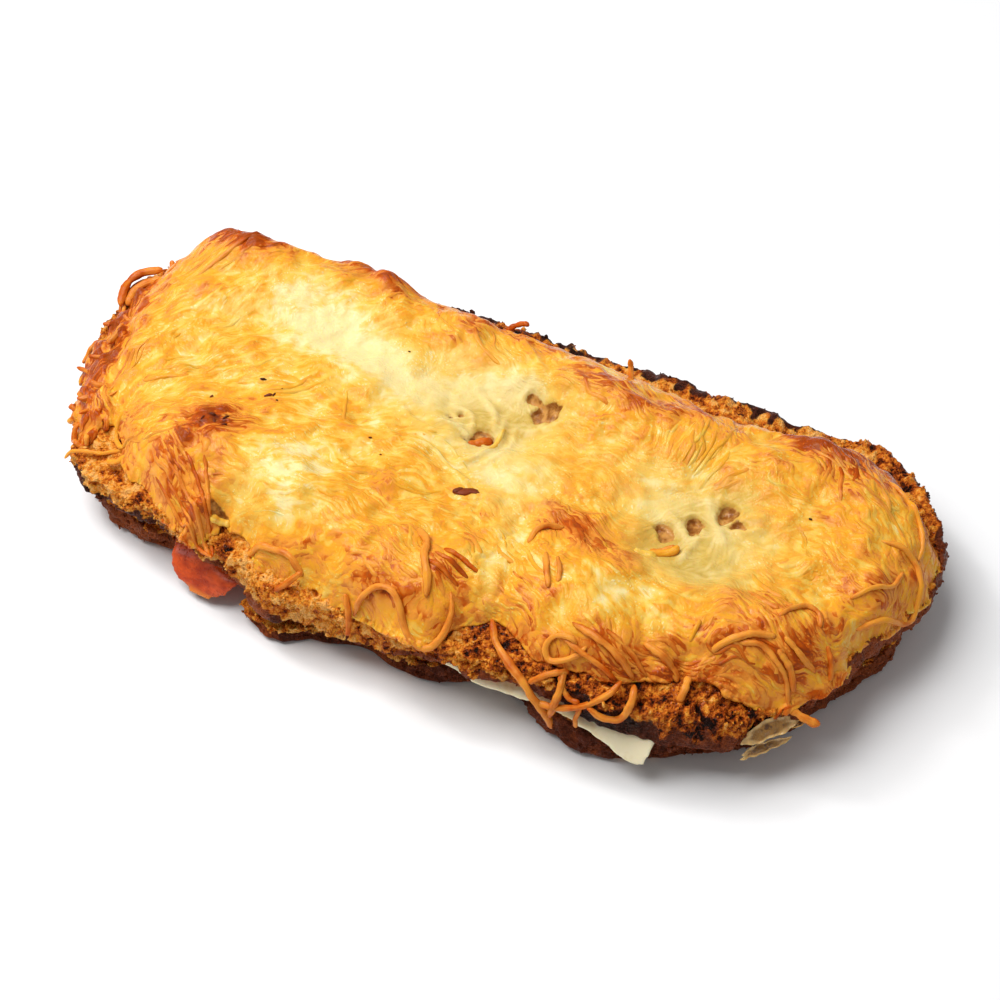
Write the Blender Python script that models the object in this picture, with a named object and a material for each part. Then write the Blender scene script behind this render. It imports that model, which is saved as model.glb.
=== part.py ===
"""A croque monsieur on long slices of country bread.

Two slices of bread hold a slice of ham and a slice of cheese, and a thick blanket of grated
cheese is melted and browned on top. Everything is stacked up from a flat underside at z = 0,
with the length along X and the straight base crust of the loaf towards +Y.
"""

import math

import bmesh
import bpy
from mathutils import Vector, noise

MM = 0.001

# Thickness of each layer at the middle of the sandwich, from the table up.
BOTTOM_BREAD = 11.3 * MM
HAM = 1.9 * MM
CHEESE_SLICE = 2.2 * MM
TOP_BREAD = 11.0 * MM
TOPPING = 4.2 * MM
LAYER_GAP = 0.6 * MM

# How boxy the rim of the top slice is.
TOP_SQUARENESS = 5

# How far in from the rim the upper layers begin to droop, and how far they droop at the rim:
# (direction from the middle in degrees, droop).
DROOP_REACH = 30 * MM
RIM_DROOP = [
    (0, 2.0 * MM),
    (25, 0.8 * MM),
    (60, 0.2 * MM),
    (120, 0.2 * MM),
    (155, 1.2 * MM),
    (180, 3.4 * MM),
    (200, 4.6 * MM),
    (222, 5.0 * MM),
    (250, 6.0 * MM),
    (266, 6.0 * MM),
    (285, 4.6 * MM),
    (312, 3.4 * MM),
    (335, 3.0 * MM),
]

# Past the rims of the ham and the cheese slice the top slice settles towards the lower one.
SETTLE_START = 2.5 * MM
SETTLE_REACH = 13 * MM

# Outlines in millimetres, counter-clockwise from the right-hand end. A smooth closed curve
# runs through the points.
TOP_BREAD_OUTLINE = [
    (122.5, 18), (114, 41), (93, 54), (58, 52.5), (20, 53.5), (-20, 55), (-62, 57), (-99, 58.5),
    (-120, 41), (-121, 10), (-113, -16), (-101, -33), (-74, -42.5), (-42, -49.5), (-10, -53),
    (18, -54.5), (48, -54), (74, -51.5), (90, -43), (104, -27), (115, -6),
]
BOTTOM_BREAD_OUTLINE = [
    (117, 12), (114, 36), (95, 48), (58, 47.5), (20, 48.5), (-20, 50.5), (-60, 52.5), (-93, 50),
    (-112, 31), (-113, 6), (-107, -16), (-97, -31), (-80, -38), (-69, -37), (-58, -36),
    (-47.5, -35.5), (-43, -40), (-39.5, -48.5), (-26, -51.5), (-13, -50), (-1, -53.5),
    (10, -51.5), (21, -46), (35, -45.5), (45, -52.5), (62, -55), (76, -48.5), (90, -39.5),
    (102, -25), (112, -6),
]
HAM_OUTLINE = [
    (107, 10), (101, 36), (60, 42), (0, 44), (-60, 46), (-96, 41), (-106, 14), (-98, -12),
    (-76, -29), (-70, -37), (-68.5, -45), (-64.5, -50.8), (-58, -52.8), (-52.5, -51), (-49.5, -46),
    (-48, -40), (-28, -40), (0, -43), (30, -40), (60, -36), (92, -21),
]
CHEESE_SLICE_OUTLINE = [
    (101, 4), (97, 34), (62, 41), (20, 42), (-50, 44), (-94, 40), (-103, 12), (-92, -14),
    (-60, -34), (-30, -40), (-4, -45), (9, -52.5), (20, -55), (29, -57), (37, -56.5), (45, -54.5),
    (56, -56.5), (64, -60), (70, -63), (73.5, -60), (75, -50), (82, -33), (95, -17),
]
TOPPING_OUTLINE = [
    (121, 11), (118, 26), (107, 39), (93, 47), (74, 47), (58, 43), (38, 49), (15, 51),
    (-12, 53.5), (-38, 55), (-58, 57.5), (-78, 57), (-98, 57.5), (-108, 46), (-112, 22),
    (-108, 2), (-99, -14), (-87, -28), (-77, -37), (-67, -44.5), (-56, -38.5), (-46, -42),
    (-32, -48.5), (-14, -51.5), (1, -54), (14, -54), (20.5, -46), (30, -46), (42, -49.5),
    (57, -49), (75, -39), (92, -37.5), (102, -35.5), (109, -24), (110.5, -10),
]

# Puffs and hollows of the melted cheese: (x, y, half-length, half-width, height) in
# millimetres, with the length turned by an angle in degrees.
TOPPING_SWELLS = [
    (-88, 40, 20, 13, 9.0, -15), (-58, 45, 22, 9, 6.0, -5), (-100, 18, 9, 20, 3.5, 0),
    (-66, -24, 24, 13, 6.5, -25), (-30, -34, 22, 11, 6.0, -12), (-2, -42, 17, 10, 5.5, -5),
    (-20, 40, 24, 9, 3.5, -4), (20, 32, 22, 11, 6.5, -10), (52, 28, 18, 9, 4.0, -12),
    (88, 32, 20, 12, 6.5, -20), (108, 6, 10, 20, 5.5, 12), (42, -30, 20, 13, 6.5, 8),
    (56, -44, 12, 6, 2.5, 0), (80, -26, 15, 11, 5.5, 10), (97, -26, 10, 9, 4.5, 0),
    (-52, 10, 30, 17, 1.6, -20), (-4, 14, 19, 9, -2.6, -30), (10, 26, 7, 4, -2.2, 15),
    (58, -6, 18, 10, -2.4, -18), (23, -43, 4, 8, -2.0, -25), (-55, -40, 5, 6, -1.5, 0),
]

# Where the ham and the cheese slice leave the bread they bend over and hang.
HAM_FOLD_Y = -42.0 * MM
HAM_FOLD_RADIUS = 5 * MM
HAM_FOLD_ANGLE = math.radians(58)
CHEESE_FOLD_Y = -53.8 * MM
CHEESE_FOLD_RADIUS = 2.5 * MM
CHEESE_FOLD_ANGLE = math.radians(74)

# The crisp lip of cheese that seeped out under the front right of the top slice.
LIP_CENTRE = (97.0 * MM, -39.8 * MM, 14.0 * MM)
LIP_HALF_SIZES = (8.6 * MM, 0.9 * MM, 4.2 * MM)
LIP_TURN = (math.radians(-24), math.radians(-8), math.radians(46))

COLOURS = {
    "bottom_bread": ((0.20, 0.085, 0.032), 0.75),
    "ham": ((0.40, 0.075, 0.028), 0.35),
    "cheese_slice": ((0.88, 0.78, 0.50), 0.40),
    "top_bread": ((0.24, 0.095, 0.030), 0.75),
    "melted_cheese": ((0.89, 0.58, 0.15), 0.38),
    "crisp_lip": ((0.46, 0.36, 0.17), 0.35),
}


def clear_scene():
    for old in list(bpy.data.objects):
        bpy.data.objects.remove(old, do_unlink=True)


def make_collection(name):
    made = bpy.data.collections.new(name)
    bpy.context.scene.collection.children.link(made)
    return made


def make_material(name):
    colour, roughness = COLOURS[name]
    material = bpy.data.materials.new(name)
    material.use_nodes = True
    shader = material.node_tree.nodes["Principled BSDF"]
    shader.inputs["Base Color"].default_value = (*colour, 1.0)
    shader.inputs["Roughness"].default_value = roughness
    shader.inputs["Metallic"].default_value = 0.0
    return material


def smooth(share):
    share = min(1.0, max(0.0, share))
    return share * share * (3 - 2 * share)


def on_outline(points, share):
    """The point at this share of the closed Catmull-Rom curve through the outline's points."""
    count = len(points)
    place = (share % 1.0) * count
    first = int(place) % count
    t = place - int(place)
    before, start, end, after = (Vector(points[(first + i) % count]) for i in (-1, 0, 1, 2))
    curved = (
        2 * start
        + (end - before) * t
        + (2 * before - 5 * start + 4 * end - after) * t**2
        + (3 * start - before - 3 * end + after) * t**3
    )
    return curved * 0.5 * MM


def softened(points, share):
    """The outline with its notches and tongues smoothed away, for the inner rings of a slab."""
    spread = [on_outline(points, share + step * 0.012) for step in range(-5, 6)]
    return sum(spread, Vector((0, 0))) / len(spread)


class Rim:
    """How far an outline is from the middle, in each direction."""

    STEPS = 720

    def __init__(self, points):
        rim = [on_outline(points, i / self.STEPS) for i in range(self.STEPS)]
        self.table = sorted((math.atan2(p.y, p.x) % math.tau, p.length) for p in rim)

    def radius(self, angle):
        """The distance at this angle, between the two nearest of the table's directions."""
        low, high = 0, len(self.table) - 1
        while high - low > 1:
            middle = (low + high) // 2
            if self.table[middle][0] <= angle:
                low = middle
            else:
                high = middle
        (a0, r0), (a1, r1) = self.table[low], self.table[high]
        return r0 + (r1 - r0) * min(1.0, max(0.0, (angle - a0) / max(a1 - a0, 1e-9)))

    def depth(self, x, y):
        """How far inside the rim a point lies; negative outside."""
        angle = math.atan2(y, x) % math.tau
        return self.radius(angle) - math.hypot(x, y)


TOP_RIM = Rim(TOP_BREAD_OUTLINE)
HAM_RIM = Rim(HAM_OUTLINE)
CHEESE_RIM = Rim(CHEESE_SLICE_OUTLINE)


def rim_droop(angle):
    """The droop at the rim in this direction, eased between the listed directions."""
    degrees = math.degrees(angle) % 360
    following = [*RIM_DROOP[1:], (RIM_DROOP[0][0] + 360, RIM_DROOP[0][1])]
    for (start, droop), (end, next_droop) in zip(RIM_DROOP, following):
        if start <= degrees <= end:
            return droop + (next_droop - droop) * smooth((degrees - start) / (end - start))
    return RIM_DROOP[0][1]


def droop(x, y):
    """How far the layers droop here. It grows with the square of the distance past its start."""
    share = 1 - TOP_RIM.depth(x, y) / DROOP_REACH
    return rim_droop(math.atan2(y, x)) * min(1.0, max(0.0, share)) ** 2


def past(rim, x, y):
    """How settled the top slice is past a rim: it grows with the square of the distance."""
    share = (-rim.depth(x, y) - SETTLE_START) / SETTLE_REACH
    return min(1.0, max(0.0, share)) ** 2


def waviness(x, y, size, height, layer):
    """Smooth unevenness of about this size across and height up or down."""
    return noise.noise(Vector((x / size, y / size, layer))) * height


def bottom_bread_top(x, y):
    return BOTTOM_BREAD - droop(x, y) + waviness(x, y, 35 * MM, 0.8 * MM, 1.5)


def ham_bottom(x, y):
    return bottom_bread_top(x, y) + LAYER_GAP


def ham_top(x, y):
    return ham_bottom(x, y) + HAM


def cheese_slice_bottom(x, y):
    return ham_top(x, y) + LAYER_GAP


def cheese_slice_top(x, y):
    return cheese_slice_bottom(x, y) + CHEESE_SLICE


def top_bread_bottom(x, y):
    past_cheese = past(CHEESE_RIM, x, y)
    past_both = min(past_cheese, past(HAM_RIM, x, y))
    settled = (CHEESE_SLICE + LAYER_GAP) * past_cheese + (HAM + LAYER_GAP) * past_both
    return cheese_slice_top(x, y) + LAYER_GAP - settled


def top_bread_top(x, y):
    return top_bread_bottom(x, y) + TOP_BREAD + waviness(x, y, 22 * MM, 0.9 * MM, 7.3)


def crown(reach):
    """The share of a slab's half-thickness left this far out, rounding down towards the rim."""
    return (1 - min(reach, 0.96) ** TOP_SQUARENESS) ** (1 / TOP_SQUARENESS)


def topping_bottom(x, y):
    """The topping drapes over the rounded rim of the top slice."""
    low, high = top_bread_bottom(x, y), top_bread_top(x, y)
    reach = math.hypot(x, y) / TOP_RIM.radius(math.atan2(y, x) % math.tau)
    return low + (high - low) * (0.5 + 0.5 * crown(reach)) + LAYER_GAP * (1 + min(1.0, reach) ** 6)


def swell(x, y, middle_x, middle_y, half_length, half_width, height, turn):
    """One rounded puff or hollow of the topping."""
    angle = math.radians(turn)
    dx, dy = x - middle_x * MM, y - middle_y * MM
    along = (dx * math.cos(angle) + dy * math.sin(angle)) / (half_length * MM)
    across = (dy * math.cos(angle) - dx * math.sin(angle)) / (half_width * MM)
    return height * MM * math.exp(-(along**2 + across**2))


def topping_top(x, y):
    thickness = TOPPING + sum(swell(x, y, *each) for each in TOPPING_SWELLS)
    lumps = waviness(x, y, 9 * MM, 1.0 * MM, 3.1) + waviness(x, y, 4.5 * MM, 0.4 * MM, 9.7)
    return topping_bottom(x, y) + max(1.6 * MM, thickness + lumps)


def slab(outline, lower, upper, sectors, rings, squareness, seat, rim_noise):
    """A closed slab with a rounded edge, from a sphere whose rings are moved to the outline.

    lower and upper are the two faces' heights at (x, y). squareness says how boxy the edge is.
    seat is the height of the edge between the faces: 0.5 is a pillow, 0 sits flat.
    """
    bm = bmesh.new()
    bmesh.ops.create_uvsphere(bm, u_segments=sectors, v_segments=rings, radius=1)
    for vertex in bm.verts:
        reach = min(1.0, math.hypot(vertex.co.x, vertex.co.y))
        share = math.atan2(vertex.co.y, vertex.co.x) / math.tau
        edge = on_outline(outline, share)
        edge *= 1 + noise.noise(Vector((edge.x, edge.y, 0.02)) / (7 * MM)) * rim_noise
        x, y = softened(outline, share).lerp(edge, reach**4) * reach
        low, high = lower(x, y), upper(x, y)
        fullness = (1 - reach**squareness) ** (1 / squareness)
        if vertex.co.z > 0:
            height = seat + (1 - seat) * fullness
        else:
            height = seat * (1 - fullness)
        vertex.co = (x, y, low + (high - low) * height)
    return bm


def fold_over(bm, fold_y, radius, most):
    """Bends what lies past fold_y, towards -Y, down round a curve and then straight on."""
    for vertex in bm.verts:
        length = fold_y - vertex.co.y
        if length <= 0:
            continue
        angle = min(length / radius, most)
        straight = length - radius * angle
        vertex.co.y = fold_y - radius * math.sin(angle) - straight * math.cos(angle)
        vertex.co.z -= radius * (1 - math.cos(angle)) + straight * math.sin(angle)


def finish(bm, name, collection):
    mesh = bpy.data.meshes.new(name)
    bm.to_mesh(mesh)
    bm.free()
    made = bpy.data.objects.new(name, mesh)
    collection.objects.link(made)
    mesh.materials.append(make_material(name))
    mesh.shade_smooth()
    return made


def make_bottom_bread(collection):
    """The lower slice. Its underside is pressed flat on the table."""
    pressed = 0.7 * MM
    bm = slab(BOTTOM_BREAD_OUTLINE, lambda x, y: -pressed, bottom_bread_top, 70, 14, 7, 0.5, 0.02)
    for vertex in bm.verts:
        vertex.co.z = max(0.0, vertex.co.z)
    return finish(bm, "bottom_bread", collection)


def make_ham(collection):
    bm = slab(HAM_OUTLINE, ham_bottom, ham_top, 63, 9, 9, 0.5, 0.0)
    fold_over(bm, HAM_FOLD_Y, HAM_FOLD_RADIUS, HAM_FOLD_ANGLE)
    return finish(bm, "ham", collection)


def make_cheese_slice(collection):
    bm = slab(CHEESE_SLICE_OUTLINE, cheese_slice_bottom, cheese_slice_top, 63, 9, 9, 0.5, 0.0)
    fold_over(bm, CHEESE_FOLD_Y, CHEESE_FOLD_RADIUS, CHEESE_FOLD_ANGLE)
    return finish(bm, "cheese_slice", collection)


def make_top_bread(collection):
    bm = slab(
        TOP_BREAD_OUTLINE, top_bread_bottom, top_bread_top, 84, 16, TOP_SQUARENESS, 0.5, 0.025
    )
    return finish(bm, "top_bread", collection)


def make_melted_cheese(collection):
    bm = slab(TOPPING_OUTLINE, topping_bottom, topping_top, 104, 18, 4, 0.0, 0.012)
    return finish(bm, "melted_cheese", collection)


def make_crisp_lip(collection):
    """A thin flake with an uneven rim, standing against the crust."""
    bm = bmesh.new()
    bmesh.ops.create_uvsphere(bm, u_segments=18, v_segments=10, radius=1)
    for vertex in bm.verts:
        wave = 1 + noise.noise(vertex.co * 1.7) * 0.35
        vertex.co = Vector(half * at for half, at in zip(LIP_HALF_SIZES, vertex.co)) * wave
    made = finish(bm, "crisp_lip", collection)
    made.location = LIP_CENTRE
    made.rotation_euler = LIP_TURN
    return made


def centre_on_origin(collection):
    """Moves all the pieces together so that the middle of their box is over the origin."""
    bpy.context.view_layer.update()
    points = [piece.matrix_world @ v.co for piece in collection.objects for v in piece.data.vertices]
    middle_x = (min(p.x for p in points) + max(p.x for p in points)) / 2
    middle_y = (min(p.y for p in points) + max(p.y for p in points)) / 2
    for piece in collection.objects:
        piece.location.x -= middle_x
        piece.location.y -= middle_y


def main():
    clear_scene()
    sandwich = make_collection("croque_monsieur")
    make_bottom_bread(sandwich)
    make_ham(sandwich)
    make_cheese_slice(sandwich)
    make_top_bread(sandwich)
    make_melted_cheese(sandwich)
    make_crisp_lip(sandwich)
    centre_on_origin(sandwich)


main()
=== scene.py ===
"""A croque monsieur: two long slices of toasted country bread with ham and sliced cheese
between them, under a thick blanket of grated cheese that is melted and browned."""

import functools
import itertools
import math

import bmesh
import bpy
import numpy as np
from bpy.props import FloatProperty, FloatVectorProperty, IntProperty, PointerProperty
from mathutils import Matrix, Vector
from mathutils.geometry import delaunay_2d_cdt


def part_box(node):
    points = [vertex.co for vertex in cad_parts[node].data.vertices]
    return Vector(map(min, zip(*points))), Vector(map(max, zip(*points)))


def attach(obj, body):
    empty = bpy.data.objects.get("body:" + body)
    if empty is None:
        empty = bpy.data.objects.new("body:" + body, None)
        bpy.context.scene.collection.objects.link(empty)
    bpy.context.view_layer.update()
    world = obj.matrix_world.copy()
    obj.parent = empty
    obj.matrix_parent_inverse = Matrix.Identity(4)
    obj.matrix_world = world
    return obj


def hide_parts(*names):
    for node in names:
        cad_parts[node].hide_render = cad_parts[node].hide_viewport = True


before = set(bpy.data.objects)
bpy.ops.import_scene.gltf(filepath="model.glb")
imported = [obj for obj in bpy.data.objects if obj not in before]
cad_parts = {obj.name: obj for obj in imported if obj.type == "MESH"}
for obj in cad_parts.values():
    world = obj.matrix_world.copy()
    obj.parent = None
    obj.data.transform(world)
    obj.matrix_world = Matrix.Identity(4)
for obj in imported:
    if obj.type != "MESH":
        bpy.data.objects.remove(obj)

bl_info = {
    "name": "Croque Monsieur",
    "version": (1, 0, 0),
    "blender": (4, 5, 0),
    "location": "View3D > Sidebar > Croque",
    "description": "Builds a browned croque monsieur piece by piece",
    "category": "Object",
}

MM = 0.001


def colour(name, description, default):
    """A colour that can be set in the panel, as linear red, green and blue."""
    return FloatVectorProperty(
        name=name, description=description, default=default, size=3, subtype="COLOR", min=0, max=1
    )


def length(name, description, millimetres):
    """A length that can be set in the panel."""
    return FloatProperty(
        name=name, description=description, default=millimetres * MM, unit="LENGTH", min=0
    )


def angle(name, description, degrees):
    """An angle that can be set in the panel."""
    return FloatProperty(
        name=name, description=description, default=math.radians(degrees), subtype="ANGLE"
    )


class CroqueCheese(bpy.types.PropertyGroup):
    """The blanket of melted cheese and the shreds on it."""

    cell: length("Cell", "Size of the blanket's faces", 0.54)
    rim_width: length("Rim width", "How far in the blanket's edge is rounded", 4.6)
    rim_height: length("Rim height", "Least thickness of the blanket behind its edge", 2.4)
    lumps: length("Lumps", "Height of the larger unevenness", 0.52)
    strand_relief: length("Strand relief", "Height of the melted shreds", 0.62)
    shred_width: length("Shred width", "Usual width of a fused shred", 1.35)
    shred_count: IntProperty(
        name="Shred count", description="Number of fused shreds", default=240, min=1, max=1200
    )
    cream: colour("Cream", "Cheese that is only melted", (0.86, 0.7, 0.32))
    yellow: colour("Yellow", "Lightly baked cheese", (0.84, 0.52, 0.085))
    golden: colour("Golden", "Golden cheese", (0.83, 0.355, 0.02))
    amber: colour("Amber", "Browning cheese", (0.8, 0.3, 0.038))
    brown: colour("Brown", "Browned cheese", (0.52, 0.085, 0.002))
    char: colour("Char", "Burnt cheese", (0.12, 0.016, 0.004))
    deep: colour("Deep brown", "Brownest cheese", (0.33, 0.05, 0.003))
    # The whey colour also paints the shade round the pits.
    shaded_whey: colour("Whey", "Thin, wet, see-through cheese", (0.56, 0.365, 0.07))
    milk: colour("Thin cheese", "Thin, wet cheese", (0.78, 0.59, 0.2))
    pit: colour("Pit", "Crumb at the bottom of the pits", (0.58, 0.28, 0.07))
    pit_dark: colour("Dark pit", "Darker crumb in the pits", (0.24, 0.075, 0.01))
    flake: colour("Flake", "Burnt flake", (0.03, 0.009, 0.004))
    flake_red: colour("Red flake", "Reddest burnt flake", (0.24, 0.04, 0.008))


class CroqueBread(bpy.types.PropertyGroup):
    """The two toasted slices."""

    step: length("Step", "Size of the faces round the rim", 0.56)
    pore: length("Pore", "Size of the crumb's pores", 2.3)
    ragged: length("Ragged", "How ragged the crust is", 1.0)
    pale: colour("Pale crumb", "Palest crumb", (0.92, 0.45, 0.115))
    amber: colour("Glazed crumb", "Glazed, see-through crumb", (0.84, 0.31, 0.03))
    crumb: colour("Crumb", "Toasted crumb", (0.62, 0.15, 0.014))
    toast: colour("Toast", "Darker toasted crumb", (0.24, 0.036, 0.004))
    crust: colour("Crust", "Dark crust", (0.105, 0.021, 0.008))
    red_crust: colour("Red crust", "Baked, reddish crust", (0.3, 0.068, 0.017))
    soot: colour("Soot", "Burnt crust", (0.016, 0.005, 0.003))


class CroqueFilling(bpy.types.PropertyGroup):
    """The ham, the cheese slice and the crisp lip."""

    ham: colour("Ham", "Cooked ham", (0.7, 0.095, 0.017))
    ham_dark: colour("Dark ham", "Darker places in the ham", (0.42, 0.04, 0.008))
    ham_rim_glow: colour("Ham rim", "Edge of the ham, where light gets through", (0.8, 0.21, 0.01))
    slice_cream: colour("Slice", "Sliced cheese", (0.92, 0.8, 0.54))
    slice_melted: colour("Melted slice", "Darker edge of the sliced cheese", (0.74, 0.55, 0.24))
    lip: colour("Lip", "Crisp lip", (0.3, 0.145, 0.032))
    lip_rim_highlight: colour("Lip rim", "Pale rim of the crisp lip", (0.64, 0.4, 0.15))
    lip_dark: colour("Lip spots", "Darker places in the crisp lip", (0.1, 0.04, 0.01))


class CroqueStage(bpy.types.PropertyGroup):
    """The floor, the lights and the camera."""

    floor: colour("Floor", "Pale floor", (0.9, 0.9, 0.905))
    azimuth: angle("Azimuth", "Where the camera stands", 24)
    elevation: angle("Elevation", "How high the camera looks from", 47)
    distance: length("Distance", "From the camera to the sandwich", 615)
    key: FloatProperty(name="Key", description="Power of the large soft light", default=13.5)
    sky: FloatProperty(name="Sky", description="Strength of the light all round", default=0.32)


# Shader graphs.


class Wire:
    """A shader socket that can stand in sums, each of which adds a Math node."""

    def __init__(self, graph, socket):
        self.graph = graph
        self.socket = socket

    def _math(self, operation, *values):
        settings = {"operation": operation}
        return self.graph.node("ShaderNodeMath", settings, dict(enumerate(values)))

    def __add__(self, other):
        return self._math("ADD", self, other)

    def __sub__(self, other):
        return self._math("SUBTRACT", self, other)

    def __rsub__(self, other):
        return self._math("SUBTRACT", other, self)

    def __mul__(self, other):
        return self._math("MULTIPLY", self, other)

    __radd__ = __add__
    __rmul__ = __mul__

    def at_least(self, other):
        """The greater of this and the other value."""
        return self._math("MAXIMUM", self, other)

    def other(self, output):
        """Another output of the same node."""
        return Wire(self.graph, self.socket.node.outputs[output])

    def clipped(self):
        """The value kept between 0 and 1."""
        return self._math("MINIMUM", self.at_least(0.0), 1.0)


def soft(weight, reach, green, blue):
    """Light that goes in: its share, how far in mm, and how far green and blue go against red."""
    return {"Subsurface_Weight": weight, "Subsurface_Scale": reach * MM,
            "Subsurface_Radius": (1.0, green, blue)}


class Graph:
    """The node tree of one material."""

    def __init__(self, name):
        self.material = bpy.data.materials.new(name)
        self.material.use_nodes = True
        self.tree = self.material.node_tree
        self.shader = self.tree.nodes["Principled BSDF"]

    def node(self, kind, settings=None, values=None, output=0):
        """Adds a node: its settings first, then the values or links of its sockets."""
        made = self.tree.nodes.new(kind)
        for key, value in (settings or {}).items():
            if key == "stops":
                self._set_stops(made.color_ramp, value)
            else:
                setattr(made, key, value)
        for key, value in (values or {}).items():
            self._feed(made.inputs[key], value)
        return Wire(self, made.outputs[output])

    def _set_stops(self, ramp, stops):
        while len(ramp.elements) > 1:
            ramp.elements.remove(ramp.elements[-1])
        for index, (place, shade) in enumerate(stops):
            stop = ramp.elements[0] if index == 0 else ramp.elements.new(place)
            stop.position = place
            stop.color = (*shade, 1.0)

    def _feed(self, socket, value):
        if isinstance(value, Wire):
            self.tree.links.new(value.socket, socket)
        elif socket.type == "RGBA" and len(value) == 3:
            socket.default_value = (*value, 1.0)
        else:
            socket.default_value = value

    def attribute(self, name, output="Fac"):
        """A per-point value of the mesh."""
        return self.node("ShaderNodeAttribute", {"attribute_name": name}, output=output)

    def noise(self, scale, detail=2.0, vector=None, roughness=0.5, output=0):
        """Smooth noise in the object's own space, or over another vector."""
        values = {"Scale": scale, "Detail": detail, "Roughness": roughness}
        values["Vector"] = vector or self.place()
        return self.node("ShaderNodeTexNoise", {"noise_dimensions": "3D"}, values, output)

    def cells(self, vector, scale, output=0):
        """Distance from the nearest of scattered cell centres, or another Voronoi output."""
        return self.node("ShaderNodeTexVoronoi", {}, {"Vector": vector, "Scale": scale}, output)

    def wobble(self, scale, detail, reach):
        """A vector that sways by up to this reach, in metres, from place to place."""
        return self.vector("MULTIPLY", self.noise(scale, detail, output=1), (reach,) * 3)

    def vector(self, operation, *values, output=0):
        settings = {"operation": operation}
        return self.node("ShaderNodeVectorMath", settings, dict(enumerate(values)), output)

    def place(self):
        """Where a point is in the object's own space, in metres."""
        return self.node("ShaderNodeTexCoord", output="Object")

    def mix(self, share, first, second):
        """The first colour where the share is 0, the second where it is 1."""
        settings = {"data_type": "RGBA", "clamp_factor": True}
        return self.node("ShaderNodeMix", settings, {0: share, 6: first, 7: second}, 2)

    def ramp(self, share, stops):
        """A colour by its place among the stops."""
        return self.node("ShaderNodeValToRGB", {"stops": stops}, {"Fac": share})

    def band(self, value, low, high):
        """0 below low, 1 above high, smooth in between."""
        limits = {"From Min": low, "From Max": high, "Value": value}
        return self.node("ShaderNodeMapRange", {"interpolation_type": "SMOOTHSTEP"}, limits)

    def cover(self, base, shade, value, low, high):
        """The base with this shade over it where the value passes from low to high."""
        return self.mix(self.band(value, low, high), base, shade)

    def relief(self, height, depth):
        """Fine bumps in the shading: a height, and how deep a height of 1 is, in metres."""
        values = {"Height": height, "Distance": depth, "Strength": 1.0}
        return self.node("ShaderNodeBump", {}, values)

    def finish(self, base, roughness, normal=None, coat=None, **constants):
        """Links what varies and sets what doesn't on the shader's own sockets."""
        varying = {"Base Color": base, "Roughness": roughness, "Normal": normal, "Coat Weight": coat}
        for key, value in varying.items():
            if value is not None:
                self._feed(self.shader.inputs[key], value)
        for key, value in constants.items():
            self.shader.inputs[key.replace("_", " ")].default_value = value
        return self.material


# Helpers for arrays.


def unit(vectors, least=1e-9):
    """The vectors at length 1; any shorter than the least are divided by that instead."""
    return vectors / np.maximum(np.linalg.norm(vectors, axis=-1, keepdims=True), least)


def facing(degrees):
    """The cosine and sine of an angle."""
    return math.cos(math.radians(degrees)), math.sin(math.radians(degrees))


def evened(ring, times):
    """Rows round a closed ring, each averaged with its neighbours this many times."""
    for _ in range(times):
        ring = (np.roll(ring, 1, 0) + ring + np.roll(ring, -1, 0)) / 3
    return ring


def run_length(line):
    """How far along a line of points each point is."""
    return np.concatenate([[0], np.cumsum(np.linalg.norm(np.diff(line, axis=0), axis=1))])


def at_lengths(line, gone, wanted):
    """The places on a line at these distances along it."""
    return np.stack([np.interp(wanted, gone, column) for column in line.T], -1)


def read_all(items, key, width=3, kind=float):
    """One property of every item of a mesh, as rows of this width."""
    out = np.empty(len(items) * width, kind)
    items.foreach_get(key, out)
    return out.reshape(-1, width)


def copies(faces, count, size):
    """The faces of this many copies of a lump of this many points."""
    return (np.arange(count)[:, None, None] * size + faces).reshape(-1, faces.shape[1])


def placed(name, data):
    """A new object in the scene."""
    made = bpy.data.objects.new(name, data)
    bpy.context.scene.collection.objects.link(made)
    return made


# Fields over the plan.


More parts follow.
